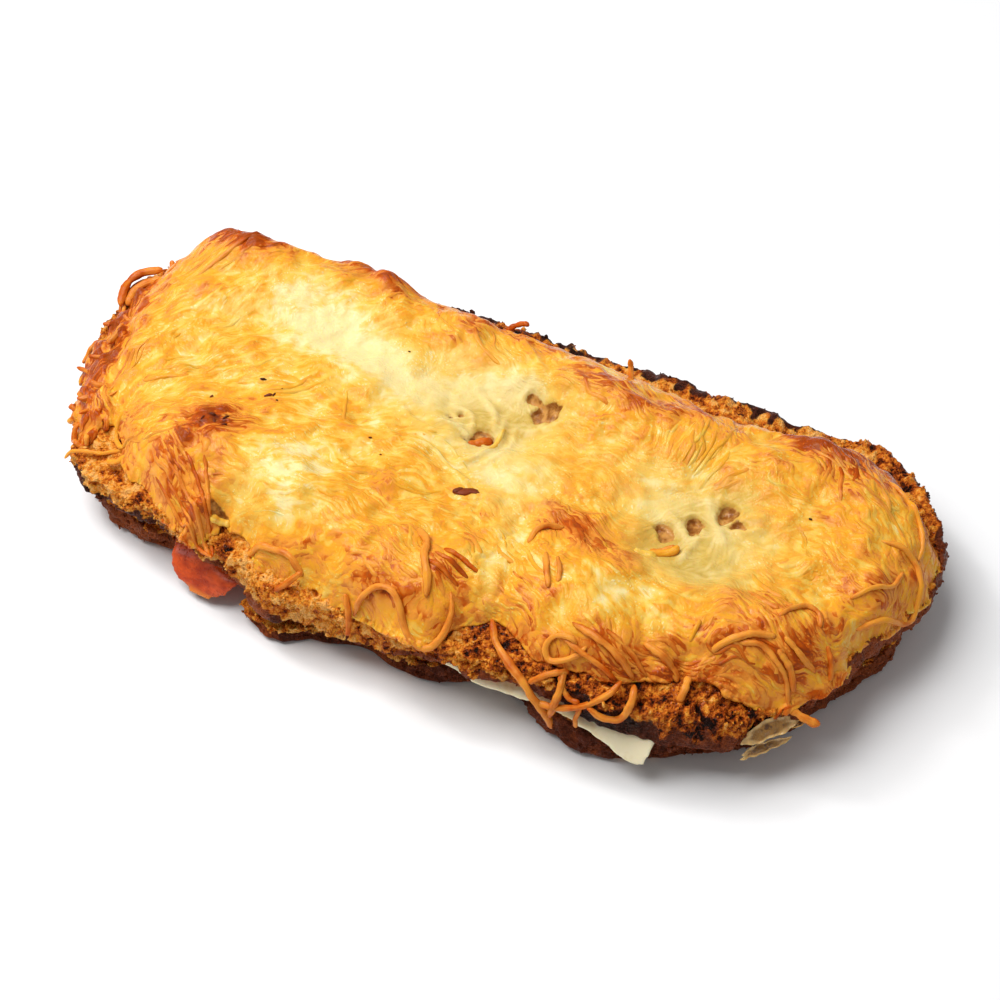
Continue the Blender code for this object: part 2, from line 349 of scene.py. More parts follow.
class Plan:
    """A grid of square cells over the plan, in metres."""

    def __init__(self, low, high, cell, margin):
        self.cell = cell
        self.left = low.x - margin
        self.front = low.y - margin
        self.columns = int((high.x - low.x + 2 * margin) / cell) + 2
        self.rows = int((high.y - low.y + 2 * margin) / cell) + 2
        self.shape = (self.rows, self.columns)
        across = self.left + cell * np.arange(self.columns)
        back = self.front + cell * np.arange(self.rows)
        self.x, self.y = np.meshgrid(across, back)

    def read(self, field, x, y):
        """The field's values at these points, evened out between the cells."""
        column = np.clip((np.asarray(x) - self.left) / self.cell, 0, self.columns - 1.001)
        row = np.clip((np.asarray(y) - self.front) / self.cell, 0, self.rows - 1.001)
        c, r = column.astype(int), row.astype(int)
        u, v = column - c, row - r
        near = field[r, c] * (1 - u) + field[r, c + 1] * u
        far = field[r + 1, c] * (1 - u) + field[r + 1, c + 1] * u
        return near * (1 - v) + far * v

    def cell_of(self, x, y):
        """The row and the column of the cell nearest to each point."""
        c = ((x - self.left) / self.cell).round().astype(int)
        r = ((y - self.front) / self.cell).round().astype(int)
        return np.clip(r, 0, self.rows - 1), np.clip(c, 0, self.columns - 1)

    def soften(self, field, width):
        """The field blurred over about this width, in metres."""
        sigma = width / self.cell
        pad = int(3 * sigma) + 2
        wide = np.pad(field, pad, mode="edge")
        down = np.fft.fftfreq(wide.shape[0])[:, None]
        along = np.fft.rfftfreq(wide.shape[1])[None, :]
        keep = np.exp(-2 * (math.pi * sigma) ** 2 * (down**2 + along**2))
        out = np.fft.irfft2(np.fft.rfft2(wide) * keep, wide.shape)
        return out[pad:-pad, pad:-pad]

    def spread(self, field, mask, width):
        """The field blurred inside the mask, and carried on smoothly outside it."""
        out = None
        for reach in (width, 4 * width, 16 * width):
            weight = self.soften(mask.astype(float), reach)
            mean = self.soften(np.where(mask, field, 0.0), reach) / np.maximum(weight, 1e-9)
            out = mean if out is None else np.where(held, out, mean)
            held = weight > 0.02 if reach == width else held | (weight > 0.02)
        return out

    def speckle(self, *layers):
        """A sum of layers of smooth noise: size in mm, seed, usual height of each."""
        total = 0
        for size, seed, amount in layers:
            raw = np.random.default_rng(seed).standard_normal(self.shape)
            out = self.soften(raw, size * MM / 2.2)
            total = total + out / out.std() * amount
        return total

    def spots(self, table):
        """A sum of soft oval spots: x, y, half-length, half-width in mm, turn, amount."""
        out = np.zeros(self.shape)
        for x, y, half_length, half_width, turn, amount in table:
            c, s = facing(turn)
            dx, dy = self.x / MM - x, self.y / MM - y
            along = (dx * c + dy * s) / half_length
            across = (dy * c - dx * s) / half_width
            out += amount * np.exp(-(along**2 + across**2))
        return out

    def depth(self, mask, most):
        """How far inside the mask each cell is, in metres, and outside it as a minus."""
        reach = int(most / self.cell)
        sides = []
        for side in (mask, ~mask):
            square = np.where(side, float(reach**2), 0.0)
            for axis in (0, 1):
                best = square.copy()
                for step in range(1, reach + 1):
                    for way in (-step, step):
                        np.minimum(best, np.roll(square, way, axis) + step**2, out=best)
                square = best
            sides.append(np.sqrt(square))
        return (sides[0] - sides[1]) * self.cell


def heights(plan, node):
    """The highest and lowest points of a CAD node over each cell, and where there are any."""
    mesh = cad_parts[node].data
    mesh.calc_loop_triangles()
    points = read_all(mesh.vertices, "co")
    corners = read_all(mesh.loop_triangles, "vertices", kind=int)
    top = np.full(plan.shape, -np.inf)
    low = np.full(plan.shape, np.inf)
    for triangle in points[corners]:
        c = (triangle[:, 0] - plan.left) / plan.cell
        r = (triangle[:, 1] - plan.front) / plan.cell
        c0, c1 = int(np.ceil(c.min())), int(c.max())
        r0, r1 = int(np.ceil(r.min())), int(r.max())
        area = (c[1] - c[0]) * (r[2] - r[0]) - (c[2] - c[0]) * (r[1] - r[0])
        if c1 < c0 or r1 < r0 or abs(area) < 1e-9:
            continue
        col, row = np.meshgrid(np.arange(c0, c1 + 1), np.arange(r0, r1 + 1))
        second = ((col - c[0]) * (r[2] - r[0]) - (row - r[0]) * (c[2] - c[0])) / area
        third = ((row - r[0]) * (c[1] - c[0]) - (col - c[0]) * (r[1] - r[0])) / area
        z = triangle[0, 2] + second * (triangle[1, 2] - triangle[0, 2])
        z = z + third * (triangle[2, 2] - triangle[0, 2])
        inside = (second >= -1e-6) & (third >= -1e-6) & (second + third <= 1 + 1e-6)
        window = (slice(r0, r1 + 1), slice(c0, c1 + 1))
        top[window] = np.where(inside, np.maximum(top[window], z), top[window])
        low[window] = np.where(inside, np.minimum(low[window], z), low[window])
    return top, low, np.isfinite(top)


def _hashed(cell, seed):
    """A number between -1 and 1 for each cell in space, the same each time."""
    value = cell[..., 0] * 374761393 + cell[..., 1] * 668265263 + cell[..., 2] * 2246822519
    value = (value + seed * 3266489917) & 0xFFFFFFFF
    value = ((value ^ (value >> 15)) * 2246822519) & 0xFFFFFFFF
    value = ((value ^ (value >> 13)) * 3266489917) & 0xFFFFFFFF
    return ((value ^ (value >> 16)) & 0xFFFF) / 32767.5 - 1


def rough(points, size, seed):
    """Smooth noise between -1 and 1 at points in space, with bumps of this size."""
    scaled = points / size
    cell = np.floor(scaled).astype(np.int64)
    part = scaled - cell
    part = part * part * (3 - 2 * part)
    out = 0.0
    for corner in itertools.product((0, 1), repeat=3):
        weight = np.prod(np.where(corner, part, 1 - part), axis=-1)
        out = out + weight * _hashed(cell + np.array(corner), seed)
    return out


def roughs(points, *layers):
    """A sum of layers of that noise: size in mm, seed and amount of each."""
    return sum(rough(points, size * MM, seed) * amount for size, seed, amount in layers)


def bubbles(points, size, seed):
    """How far each point is from the nearest of many scattered centres, in sizes."""
    scaled = points / size
    cell = np.floor(scaled).astype(np.int64)
    best = np.full(points.shape[:-1], 9.0)
    for step in itertools.product((-1, 0, 1), repeat=3):
        near = cell + np.array(step)
        jitter = np.stack([_hashed(near, seed + k) for k in range(3)], axis=-1)
        gap = scaled - (near + 0.5 + 0.45 * jitter)
        best = np.minimum(best, np.sqrt((gap**2).sum(-1)))
    return best


# Meshes.


def add_piece(name, points, face_groups, node=None, material=None, slot=None, **values):
    """Makes a mesh object of points and faces that rides on the sandwich.

    face_groups is a list of arrays, each of faces with the same number of corners.
    values are per-point numbers or vectors, which the material reads by name.
    """
    mesh = bpy.data.meshes.new(name)
    counts = np.concatenate([np.full(len(g), g.shape[1]) for g in face_groups if len(g)])
    corners = np.concatenate([np.asarray(g).ravel() for g in face_groups if len(g)])
    mesh.vertices.add(len(points))
    mesh.vertices.foreach_set("co", np.asarray(points, np.float32).ravel())
    mesh.loops.add(len(corners))
    mesh.loops.foreach_set("vertex_index", corners.astype(np.int32))
    mesh.polygons.add(len(counts))
    starts = np.concatenate([[0], np.cumsum(counts)[:-1]])
    mesh.polygons.foreach_set("loop_start", starts.astype(np.int32))
    mesh.update(calc_edges=True)
    mesh.validate()
    return add_mesh(name, mesh, node, material, slot, **values)


def add_mesh(name, mesh, node=None, material=None, slot=None, **values):
    """Puts a mesh in the scene as a piece of the sandwich."""
    for key, value in values.items():
        value = np.asarray(value, np.float32)
        kind = "FLOAT" if value.ndim == 1 else "FLOAT_VECTOR"
        field = "value" if value.ndim == 1 else "vector"
        made = mesh.attributes.new(key, kind, "POINT")
        made.data.foreach_set(field, value.ravel())
    mesh.shade_smooth()
    piece = placed(name, mesh)
    mesh.materials.append(material)
    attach(piece, "root")
    if node:
        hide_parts(node)
    slot or node
    return piece


def ring_faces(rings, around):
    """Quads that join neighbouring rings of points; ring k holds points k*around onwards."""
    k, i = np.meshgrid(np.arange(rings - 1), np.arange(around), indexing="ij")
    j = (i + 1) % around
    quads = np.stack([k * around + i, k * around + j, (k + 1) * around + j, (k + 1) * around + i])
    return quads.reshape(4, -1).T


def closed_faces(rings, around):
    """Quads for one body of rings of points, and the cap at each of its ends."""
    one = np.arange(around)
    return ring_faces(rings, around)[:, ::-1], np.stack([one, (rings - 1) * around + one[::-1]])


def tube_faces(tubes, rings, around):
    """Quads for many tubes laid out one after another, and a cap at each end."""
    one = ring_faces(rings, around)
    start = np.arange(tubes)[:, None, None] * rings * around
    quads = (start + one[None]).reshape(-1, 4)
    first = np.arange(around)[::-1]
    last = (rings - 1) * around + np.arange(around)
    caps = np.concatenate([start[:, 0] + first, start[:, 0] + last])
    return [quads, caps]


def spline(points, count):
    """A smooth curve through the points, as this many evenly spread places."""
    points = np.asarray(points, float)
    ends = np.concatenate([[2 * points[0] - points[1]], points, [2 * points[-1] - points[-2]]])
    at = np.linspace(0, len(points) - 1 - 1e-9, count * 8)
    k = at.astype(int)
    t = (at - k)[:, None]
    a, b, c, d = (ends[k + step] for step in range(4))
    curve = 0.5 * (
        2 * b + (c - a) * t + (2 * a - 5 * b + 4 * c - d) * t**2 + (3 * b - a - 3 * c + d) * t**3
    )
    gone = run_length(curve)
    return at_lengths(curve, gone, np.linspace(0, gone[-1], count))


# The cheese.

# Where the blanket is browner (more) or paler (less) than golden: x, y, half-length,
# half-width in mm, turn in degrees, amount.
BROWNING = [
    (-92, 46, 15, 8, -20, 0.6), (-110, 24, 8, 17, -25, 0.14), (-66, 54, 30, 5, -3, 0.3),
    (-111, 2, 7, 15, 10, 0.02), (-104, -20, 8, 9, 0, -0.06), (-63, -21, 7, 7, 0, 0.5),
    (-66, -30, 12, 9, -40, 0.2), (-60, -44, 9, 6, -45, 0.22), (3, -50, 13, 7, 0, 0.09),
    (-10, -46, 12, 7, 0, 0.06), (-27, -47, 8, 5, 0, 0.1), (12, -41, 8, 4, -10, 0.2),
    (36, -48, 8, 5, -30, 0.06), (46, -44, 6, 4, 0, -0.1), (56, -47, 14, 5, 5, 0.22),
    (64, -41, 7, 4, -30, 0.2), (90, -24, 12, 9, 20, 0.18), (100, -31, 10, 7, 30, 0.24),
    (84, -33, 9, 6, 0, 0.16), (113, 6, 7, 26, 10, 0.03), (106, 33, 8, 9, 0, 0.1),
    (88, 36, 16, 8, -20, 0.46), (77, 37, 9, 6, 0, 0.14), (36, -16, 14, 6, -20, 0.42),
    (46, -18, 8, 3, -15, 0.12), (28, 34, 18, 6, -10, 0.26), (46, 34, 12, 6, 0, 0.22),
    (-4, 45, 10, 4, -15, 0.22), (-25, 33, 6, 1.6, 10, 0.3), (-44, 49, 8, 5, 0, 0.3),
    (104, -8, 9, 7, 60, 0.06), (-54, 24, 22, 11, -20, -0.34), (-71, 33, 16, 9, -15, -0.1),
    (-30, 17, 18, 9, -25, -0.26), (-4, 18, 16, 12, -20, -0.34), (2, 27, 8, 6, 0, -0.22),
    (6, 0, 12, 9, 0, -0.24), (17, -5, 9, 8, -40, -0.2), (22, -20, 8, 10, 0, -0.12),
    (22.5, -36, 4, 9, 8, -0.15), (56, 2, 16, 8, -15, -0.22), (69, -2, 14, 12, 0, -0.16),
    (-45, -43, 8, 5, 0, -0.22), (-34, -37, 8, 5, -30, -0.14), (50, -33, 10, 7, 0, -0.16),
    (-88, 6, 14, 12, 60, -0.02), (66, -14, 9, 6, 0, -0.2), (-30, -12, 16, 10, 20, -0.08),
    (-40, -28, 13, 9, -20, -0.33), (-86, -18, 8, 7, 0, -0.09), (-25, 46, 14, 5, -15, 0.1),
    (-56, 44, 16, 5, -10, 0.09), (84, 6, 14, 12, 0, 0.06),
]
# Small burnt places.
SCORCHES = [
    (-63.5, -20.5, 2.2, 1.3, 20, 0.9), (-60.5, -21.5, 1.5, 0.9, 70, 0.75),
    (-65, -24, 1.8, 1.0, 40, 0.65), (-61, -18.5, 1.2, 0.8, 0, 0.75), (63, -40, 2.6, 0.9, -35, 0.5),
    (70, -39.5, 1.6, 0.7, -20, 0.6),
]
# Where the cheese is thin and wet, with few shreds.
WET = [
    (-4, 18, 17, 12, -20, 1.0), (5, 1, 13, 9, 0, 0.8), (-22, 12, 13, 8, -25, 0.6),
    (56, 3, 17, 9, -15, 0.9), (68, -2, 14, 13, 0, 0.8), (18, -10, 8, 9, -20, 0.6),
    (22.5, -37, 3, 8, 8, 0.3), (-46, -36, 8, 5, 0, 0.3), (66, -15, 10, 6, 0, 1.0),
    (10, 21, 9, 7, 10, 0.5),
]
# Where the shreds have sunk into a smooth skin.
SMOOTH = [
    (-52, 25, 25, 12, -20, 0.7), (-28, 22, 18, 10, -20, 0.6), (-70, 30, 14, 9, 0, 0.1),
    (98, 8, 12, 14, 0, 0.2), (45, -30, 12, 8, 0, 0.1), (24, 10, 16, 12, 0, 0.3),
]
# Where the thin cheese round the pits is mixed toward the whey colour: partly thin, see-through cheese
# and partly painted shade round the pits.
PIT_SHADES = [
    (10, 20, 10, 7, 10, 0.9), (-1, 9, 8, 7, 30, 0.8), (-8, 14, 7, 4, 30, 0.4), (55, -5, 6, 6, 24, 0.8),
    (61, 2, 6, 7, 24, 0.8), (67, 8, 7, 7, 24, 0.9), (66, -14, 11, 7, 0, 1.0), (60, -8, 12, 6, 10, 0.7),
    (22.5, -36, 4, 8, 8, 0.3), (74, 2, 7, 6, 0, 0.4), (-2, 15, 10, 8, 0, 0.4),
]
# Pits where the crumb of the bread shows through.
PITS = [
    (12, 21.5, 4.6, 3.6, 10, 1.05), (6.5, 25.5, 2.4, 1.8, 20, 0.8), (-0.6, 6.4, 4.4, 3.4, 35, 1.15),
    (-9.2, 12, 3.6, 2.0, 30, 0.95), (55.3, -4.2, 2.5, 3.9, 24, 1.2), (62.0, 0.2, 2.4, 4.2, 24, 1.2),
    (68.4, 6.2, 3.0, 3.8, 24, 1.3), (73, 3.8, 1.8, 1.3, 0, 0.9), (-51, -42.5, 3.6, 1.8, -10, 0.9),
]
# Pale strands drawn out over the pits: width in mm, height in mm, then places in mm.
BRIDGES = [
    (2.5, 1.0, [(-22, -7), (-16, -4.2), (-10, -3.8), (-4.3, -6.8), (2.4, -10.3), (5, -12.5)]),
    (1.4, 0.6, [(-18, -1), (-11, 0.5), (-5, -1.5), (1, -6), (6, -9)]),
    (2.3, 1.0, [(2, 17), (3.6, 11.5), (4.2, 5.7), (2, -0.9), (-1, -5.5)]),
    (1.5, 0.6, [(6, 15), (7.5, 9), (7, 2), (4, -4)]),
    (1.3, 0.6, [(-7, 46), (3.6, 34.5), (8.2, 29.9), (9.6, 27)]),
    (1.0, 0.5, [(0, 44), (7, 36), (11.5, 30), (13.5, 27)]),
    (2.6, 0.9, [(-9, 23.5), (-2.5, 18.7), (0.5, 14.4), (2.5, 9)]),
    (2.0, 0.7, [(5, 14), (11, 15.8), (17, 17.6), (23, 19), (29, 18)]),
    (2.2, 0.7, [(-14, 6), (-9, 8), (-5, 7), (-2.5, 3.5)]),
    (2.2, 0.8, [(-12, 15), (-8, 14.5), (-5, 12), (-4, 8)]),
    (1.4, 0.6, [(-30, 4), (-24, -2), (-17, -6), (-9, -9), (-2, -13)]),
    (1.3, 0.5, [(-24, 8), (-18, 4), (-12, 3), (-8, 4)]),
    (3.4, 0.7, [(60.7, 11.2), (63.8, 6.5), (66.9, 1.9), (70.1, -2.6)]),
    (3.6, 0.7, [(53.4, 1.9), (57.1, -0.6), (61.6, -4.2)]),
    (2.4, 0.6, [(66.5, 2.5), (69.6, 4.6), (71.7, 9.2)]),
    (2.0, 0.5, [(64.5, 5.3), (64.4, 12.8), (64.4, 17.4)]),
    (2.4, 0.7, [(64, -2.6), (63.0, -7.6), (62.1, -12.4)]),
    (1.3, 0.5, [(67, 1), (73, 3), (79, 4.6)]),
    (1.2, 0.5, [(61.5, 9), (55, 10.5), (50, 12)]),
    (1.8, 0.4, [(38, 12), (44, 9), (50, 9), (56, 12), (60, 17)]),
    (1.6, 0.4, [(10, -14), (16, -12), (22, -14), (28, -20)]),
]
# How much the blanket stands above (or sinks below) its usual height, in mm.
SWELLS = [
    (-58, 51, 6, 4, -10, 4.5), (-46, 46, 5, 4, 0, 5.0), (-94, 46, 13, 8, -20, 3.2),
    (-62, 53, 22, 5, -3, 1.6), (-40, 50, 8, 4, 0, 1.0), (0, 17, 17, 11, -20, -2.6),
    (6, 25, 7, 4, 0, -1.2), (-3, 11, 6, 4, 0, -1.0), (56, 3, 15, 8, -15, -2.0), (61, 6, 8, 5, 30, -1.0),
    (3, -49, 13, 8, 0, 1.6), (55, -40, 14, 8, 5, 1.4), (92, -26, 14, 10, 20, 1.6),
    (24, -25, 3, 14, 15, -1.6), (-64, -30, 12, 10, -40, 1.2), (-46, -38, 6, 6, 0, -1.6),
    (-62, -18, 9, 7, 0, 1.0), (-20, -24, 16, 8, 20, 0.8), (66, -15, 9, 5, 0, -1.0),
    (84, 20, 14, 10, -30, 0.8), (34, -14, 10, 5, -20, 0.9), (-34, 30, 20, 6, -25, 0.7),
    (30, 30, 20, 7, -10, 0.8),
]
# How far the blanket's edge stands out past its usual line, in mm.
OUTLINE = [
    (-104, -21, 10, 9, -50, 6.5), (-86, -35, 8, 6, -40, 2.0), (-56, -45, 6, 7, 0, 7.0),
    (-66, 57, 26, 6, 0, 1.0), (-38, -50, 6, 5, 0, 1.5), (72, 47, 20, 9, -10, -6.0),
    (25, 50, 26, 9, -10, -5.0), (-20, 53, 17, 8, -12, -5.5), (-45, 52, 5, 4, 0, 4.0),
    (-42, -50, 3, 4, 0, -2.0), (86, -46, 11, 7, 15, 5.0), (72, -48, 8, 5, 0, 2.0),
    (95, 40, 12, 8, -30, -1.5),
]
# Where a thin, browned skin of cheese covers the rim of the bread.
LEDGE = [
    (-112, 16, 12, 16, -8, 1.5), (-109, -9, 9, 13, 25, 1.3), (-102, -24, 6, 6, 0, 0.8),
    (-20, 52, 14, 4, -10, 0.6),
]
# Fine cracks in the blanket, as lines of places in mm.
CRACKS = [
    [(9, -14), (10, -19), (12, -23)],
    [(22, -20), (20, -26), (21, -31), (18, -35), (19, -40)],
    [(25, -33), (27, -38), (26, -42)],
]
# Which way the shreds lie: x, y, reach in mm, degrees from the length.
LIE = [
    (-92, 34, 26, 62), (-62, 36, 20, 40), (-88, 0, 20, 75), (-66, -32, 16, -48), (-60, -5, 22, 25),
    (-36, -20, 22, 12), (-18, -40, 16, -5), (6, -44, 14, -40), (30, -14, 20, -30), (36, -40, 12, -60),
    (54, -40, 16, -30), (60, 4, 18, 40), (88, -20, 14, -25), (98, 26, 20, -50), (24, 34, 22, -22),
    (-14, 38, 18, -20), (-6, 12, 14, 35), (78, 16, 16, -10),
]


# How many melted shreds make up the blanket's relief.
STRAND_COUNT = 6200
# How deep inside its outline the blanket's mesh begins.
EDGE = 0.3 * MM


def dome(depth, width):
    """A rounded rise from 0 at the edge to 1 at this width inside it."""
    share = np.clip(depth / width, 0, 1)
    return np.sqrt(1 - (1 - share) ** 2)


class Blanket:
    """The melted cheese as fields over the plan, all in metres."""

    def __init__(self, sizes):
        low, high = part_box("melted_cheese")
        plan = self.plan = Plan(low, high, 0.4 * MM, 18 * MM)
        top, _, mask = heights(plan, "melted_cheese")
        crumb, _, bread = heights(plan, "top_bread")
        solid_depth = plan.soften(plan.depth(mask, 13 * MM), 0.5 * MM)
        bread_depth = plan.soften(plan.depth(bread, 13 * MM), 0.5 * MM)
        ragged = plan.speckle((5, 1, 0.9), (1.8, 2, 0.25)) * MM
        torn = plan.speckle((4, 6, 0.8), (1.6, 7, 0.7)) * MM
        self.main = solid_depth + plan.spots(OUTLINE) * MM + ragged
        self.lie = self._lie()
        self.strands, self.tone = self._strands()
        self.main = self.main + (self.strands - 0.5) * 0.5 * MM
        skin = np.minimum((plan.spots(LEDGE) - 0.5) * 8 * MM, bread_depth - 1.6 * MM) + torn
        self.depth = np.maximum(self.main, skin)
        self.ledge = np.clip((skin - self.main) / (1.5 * MM), 0, 1)
        self.base = plan.spread(crumb, bread & (bread_depth > 0.8 * MM), 0.9 * MM) - 0.2 * MM
        solid = plan.spread(top, mask & (solid_depth > 0.4 * MM), 0.8 * MM)
        solid = solid + plan.spots(SWELLS) * MM
        sagging = 1.3 * MM * np.exp(-np.maximum(self.main, 0) / (4 * MM))
        most = 4.6 * MM + np.maximum(self.main, 0) * 1.3
        thick = np.clip(solid - sagging - self.base, sizes.rim_height, most)
        film = (1.7 + plan.speckle((2.6, 8, 0.8))).clip(0.4) * MM
        self.wet = np.clip(plan.spots(WET), 0, 1)
        self.smooth = np.clip(plan.spots(SMOOTH) + self.wet, 0, 1)
        uneven = plan.speckle((2.5, 9, 0.16), (1.2, 10, 0.1))
        self.bridge = self._bridges()
        pits = np.clip((plan.spots(PITS) * (1 + uneven * 1.3) - 0.44) / 0.22, 0, 1)
        self.pits = pits * pits * (3 - 2 * pits) * np.clip(1 - 1.2 * self.bridge, 0, 1)
        self.wet = self.wet * np.clip(1 - 0.6 * self.bridge, 0, 1)
        # Painted shade round the pits, weaker under the bridges.
        self.pit_shade = np.clip(plan.spots(PIT_SHADES), 0, 1) * np.clip(1 - 0.7 * self.bridge, 0, 1)
        rise = np.maximum(thick * dome(self.main, sizes.rim_width), film * dome(skin, 1.2 * MM))
        lumps = plan.speckle((11, 3, 1.0), (5.5, 4, 0.8), (2.4, 5, 0.45)) * sizes.lumps
        lumps = lumps * (1 - 0.35 * self.smooth) * np.clip(self.depth / sizes.rim_width, 0, 1)
        self.body = self.base + rise + lumps
        self.browning = self._browning()
        self.scorch = np.clip(plan.spots(SCORCHES), 0, 1)
        self.crack = self._cracks()
        self.relief = self._relief(sizes)

    def _bridges(self):
        """Strands over the pits, with their height in mm at their crowns."""
        plan = self.plan
        out = np.zeros(plan.shape)
        reach = 6
        for width, height, line in BRIDGES:
            path = spline(np.array(line) * MM, 90)
            fade = np.sqrt(np.clip(1 - np.linspace(-1, 1, 90) ** 4, 0, 1))
            for (x, y), share in zip(path, fade):
                c = int((x - plan.left) / plan.cell)
                r = int((y - plan.front) / plan.cell)
                window = (slice(r - reach, r + reach), slice(c - reach, c + reach))
                gap = np.hypot(plan.x[window] - x, plan.y[window] - y) / (width * MM / 2)
                crown = height * share * np.clip(1 - gap**2, 0, 1) ** 0.7
                out[window] = np.maximum(out[window], crown)
        return plan.soften(out, 0.3 * MM)

    def _lie(self):
        """Which way the shreds lie at each place: by the table, and across the rim near it."""
        plan = self.plan
        c, s = plan.speckle((9, 21, 0.35)), plan.speckle((9, 22, 0.35))
        for x, y, reach, degrees in LIE:
            weight = np.exp(-((plan.x / MM - x) ** 2 + (plan.y / MM - y) ** 2) / reach**2)
            cosine, sine = facing(2 * degrees)
            c += weight * cosine
            s += weight * sine
        back, across = np.gradient(plan.soften(self.main, 3 * MM))
        along_rim = np.arctan2(across, -back)
        near_rim = 0.5 * np.exp(-((np.maximum(self.main, 0) / (6 * MM)) ** 2))
        c += near_rim * np.cos(2 * along_rim)
        s += near_rim * np.sin(2 * along_rim)
        return 0.5 * np.arctan2(s, c)

    def _strands(self):
        """Shreds laid over one another: their height from 0 to 1, and a tone for each."""
        plan = self.plan
        rng = np.random.default_rng(26)
        count = STRAND_COUNT
        row, column = rng.integers(plan.rows, size=count), rng.integers(plan.columns, size=count)
        lie = (self.lie[row, column] + rng.normal(0, 0.6, count))[:, None, None]
        reach = np.clip(rng.lognormal(math.log(8 * MM), 0.4, count), 4 * MM, 18 * MM)
        width = rng.uniform(1.2, 2.2, count)[:, None, None] * MM
        aside = np.linspace(-0.5, 0.5, 9)
        along = np.linspace(-0.5, 0.5, 60)
        u = (reach[:, None] * along)[..., None]
        v = rng.normal(0, 40, count)[:, None, None] * u**2 + aside * width
        x = plan.x[row, column][:, None, None] + u * np.cos(lie) - v * np.sin(lie)
        y = plan.y[row, column][:, None, None] + u * np.sin(lie) + v * np.cos(lie)
        shape = np.sqrt(1 - (2 * aside) ** 2 * 0.98) * (1 - (2 * along[:, None]) ** 8)
        height = (rng.uniform(0.3, 1, count)[:, None, None] * shape).ravel()
        r, c = plan.cell_of(x, y)
        order = np.argsort(height, kind="stable")
        cells = (r * plan.columns + c).ravel()[order]
        out, tone = np.zeros(plan.shape), np.zeros(plan.shape)
        out.flat[cells] = height[order]
        tone.flat[cells] = np.repeat(rng.normal(size=count), shape.size)[order]
        return plan.soften(out, 0.45 * MM), plan.soften(tone, 0.35 * MM)

    def _browning(self):
        """How browned each place is: 0 is only melted, 1 is burnt."""
        plan = self.plan
        rim = 0.08 * np.exp(-np.maximum(self.main, 0) / (5 * MM))
        rim += 0.26 * np.exp(-np.maximum(self.main, 0) / (1.6 * MM))
        patches = plan.speckle((9, 11, 0.04), (3.2, 12, 0.04))
        lifted = self.body - plan.soften(self.body, 4 * MM)
        spots = plan.spots(BROWNING)
        streaky = self.tone * 0.075 + (self.strands - 0.5) * 0.06
        level = 0.42 + spots + rim + patches + 0.09 * lifted / MM
        level += streaky * (1 - 0.7 * self.smooth) + 0.1 * self.ledge
        return level - 0.1 * self.bridge

    def _cracks(self):
        """The fine cracks, from 0 beside them to 1 in their middles."""
        plan = self.plan
        nearest = np.full(plan.shape, 1.0)
        for line in CRACKS:
            path = spline(np.array(line) * MM, 40)
            wobble = np.random.default_rng(31).normal(0, 0.25 * MM, path.shape)
            for x, y in path + wobble:
                np.minimum(nearest, np.hypot(plan.x - x, plan.y - y), out=nearest)
        return np.exp(-((nearest / (0.45 * MM)) ** 2))

    def _relief(self, sizes):
        """How far the melted shreds, the cracks and the bridges raise or lower each place."""
        calm = 1 - 0.45 * self.smooth
        calm = calm * (0.42 + np.clip((self.browning - 0.36) * 2.2, 0, 0.8))
        relief = sizes.strand_relief * (self.strands - 0.4) * calm
        inside = np.clip(self.depth / (1.5 * MM), 0, 1)
        return relief * inside - 0.9 * MM * self.crack + self.bridge * MM

    def at(self, field, x, y):
        """The field's values at these points."""
        return self.plan.read(field, x, y)

    def surface(self):
        """The finished top of the blanket, with the shreds' relief and the pits."""
        bottom = np.maximum(self.base + 0.5 * MM, self.body - 2.4 * MM)
        bottom = bottom + 0.8 * MM * self.strands
        return (self.body + self.relief) * (1 - self.pits) + bottom * self.pits


@functools.cache
def blanket():
    """The one blanket that every piece of cheese is laid on or into."""
    return Blanket(bpy.context.scene.croque_cheese)


# What the cheese's material reads at each point, other than how the shreds lie there.
CHEESE_FIELDS = ("browning", "wet", "scorch", "smooth", "pit_shade")


def cheese_values(x, y):
    """What the cheese's material reads, for points at these places."""
    cover = blanket()
    values = {key: cover.at(getattr(cover, key), x, y) for key in CHEESE_FIELDS}
    values["lie_cos"] = cover.at(np.cos(2 * cover.lie), x, y)
    values["lie_sin"] = cover.at(np.sin(2 * cover.lie), x, y)
    return values


# Layers of fine shreds in the cheese's material: direction in degrees, length and width in mm.
SHRED_LAYERS = [
    (4, 14, 1.5), (33, 11, 1.2), (61, 14, 1.4), (94, 11, 1.25), (122, 14, 1.5), (151, 10, 1.15),
]


def fine_shreds(graph, bent):
    """Long shreds over one another: how high each place is, and the tone of its shred."""
    lie_cos, lie_sin = graph.attribute("lie_cos"), graph.attribute("lie_sin")
    upward = graph.vector("DOT_PRODUCT", bent, (0.0, 0.0, 1.0), output="Value")
    crown, tone = 0.0, 0.5
    for degrees, length, width in SHRED_LAYERS:
        c, s = facing(degrees)
        along = graph.vector("DOT_PRODUCT", bent, (c, s, 0.0), output="Value")
        across = graph.vector("DOT_PRODUCT", bent, (-s, c, 0.0), output="Value")
        place = graph.node("ShaderNodeCombineXYZ", {}, {
            "X": along * (1 / (length * MM)), "Y": across * (1 / (width * MM)),
            "Z": upward * (1 / (3 * width * MM)) + degrees})
        cells = graph.cells(place, 1.0, "Color")
        away = cells.other("Distance")
        first = graph.node("ShaderNodeSeparateXYZ", {}, {"Vector": cells})
        cosine, sine = facing(2 * degrees)
        near = (lie_cos * cosine + lie_sin * sine) * 0.5 + 0.5
        high = (1.0 - away * away * 2.6).at_least(0.0) * (0.4 + 0.6 * first)
        high = high * (near * near * 0.95 + 0.12)
        over = ((high - crown) * 6.0 + 0.5).clipped()
        tone = (first.other("Y") - tone) * over + tone
        crown = high.at_least(crown)
    return crown, tone


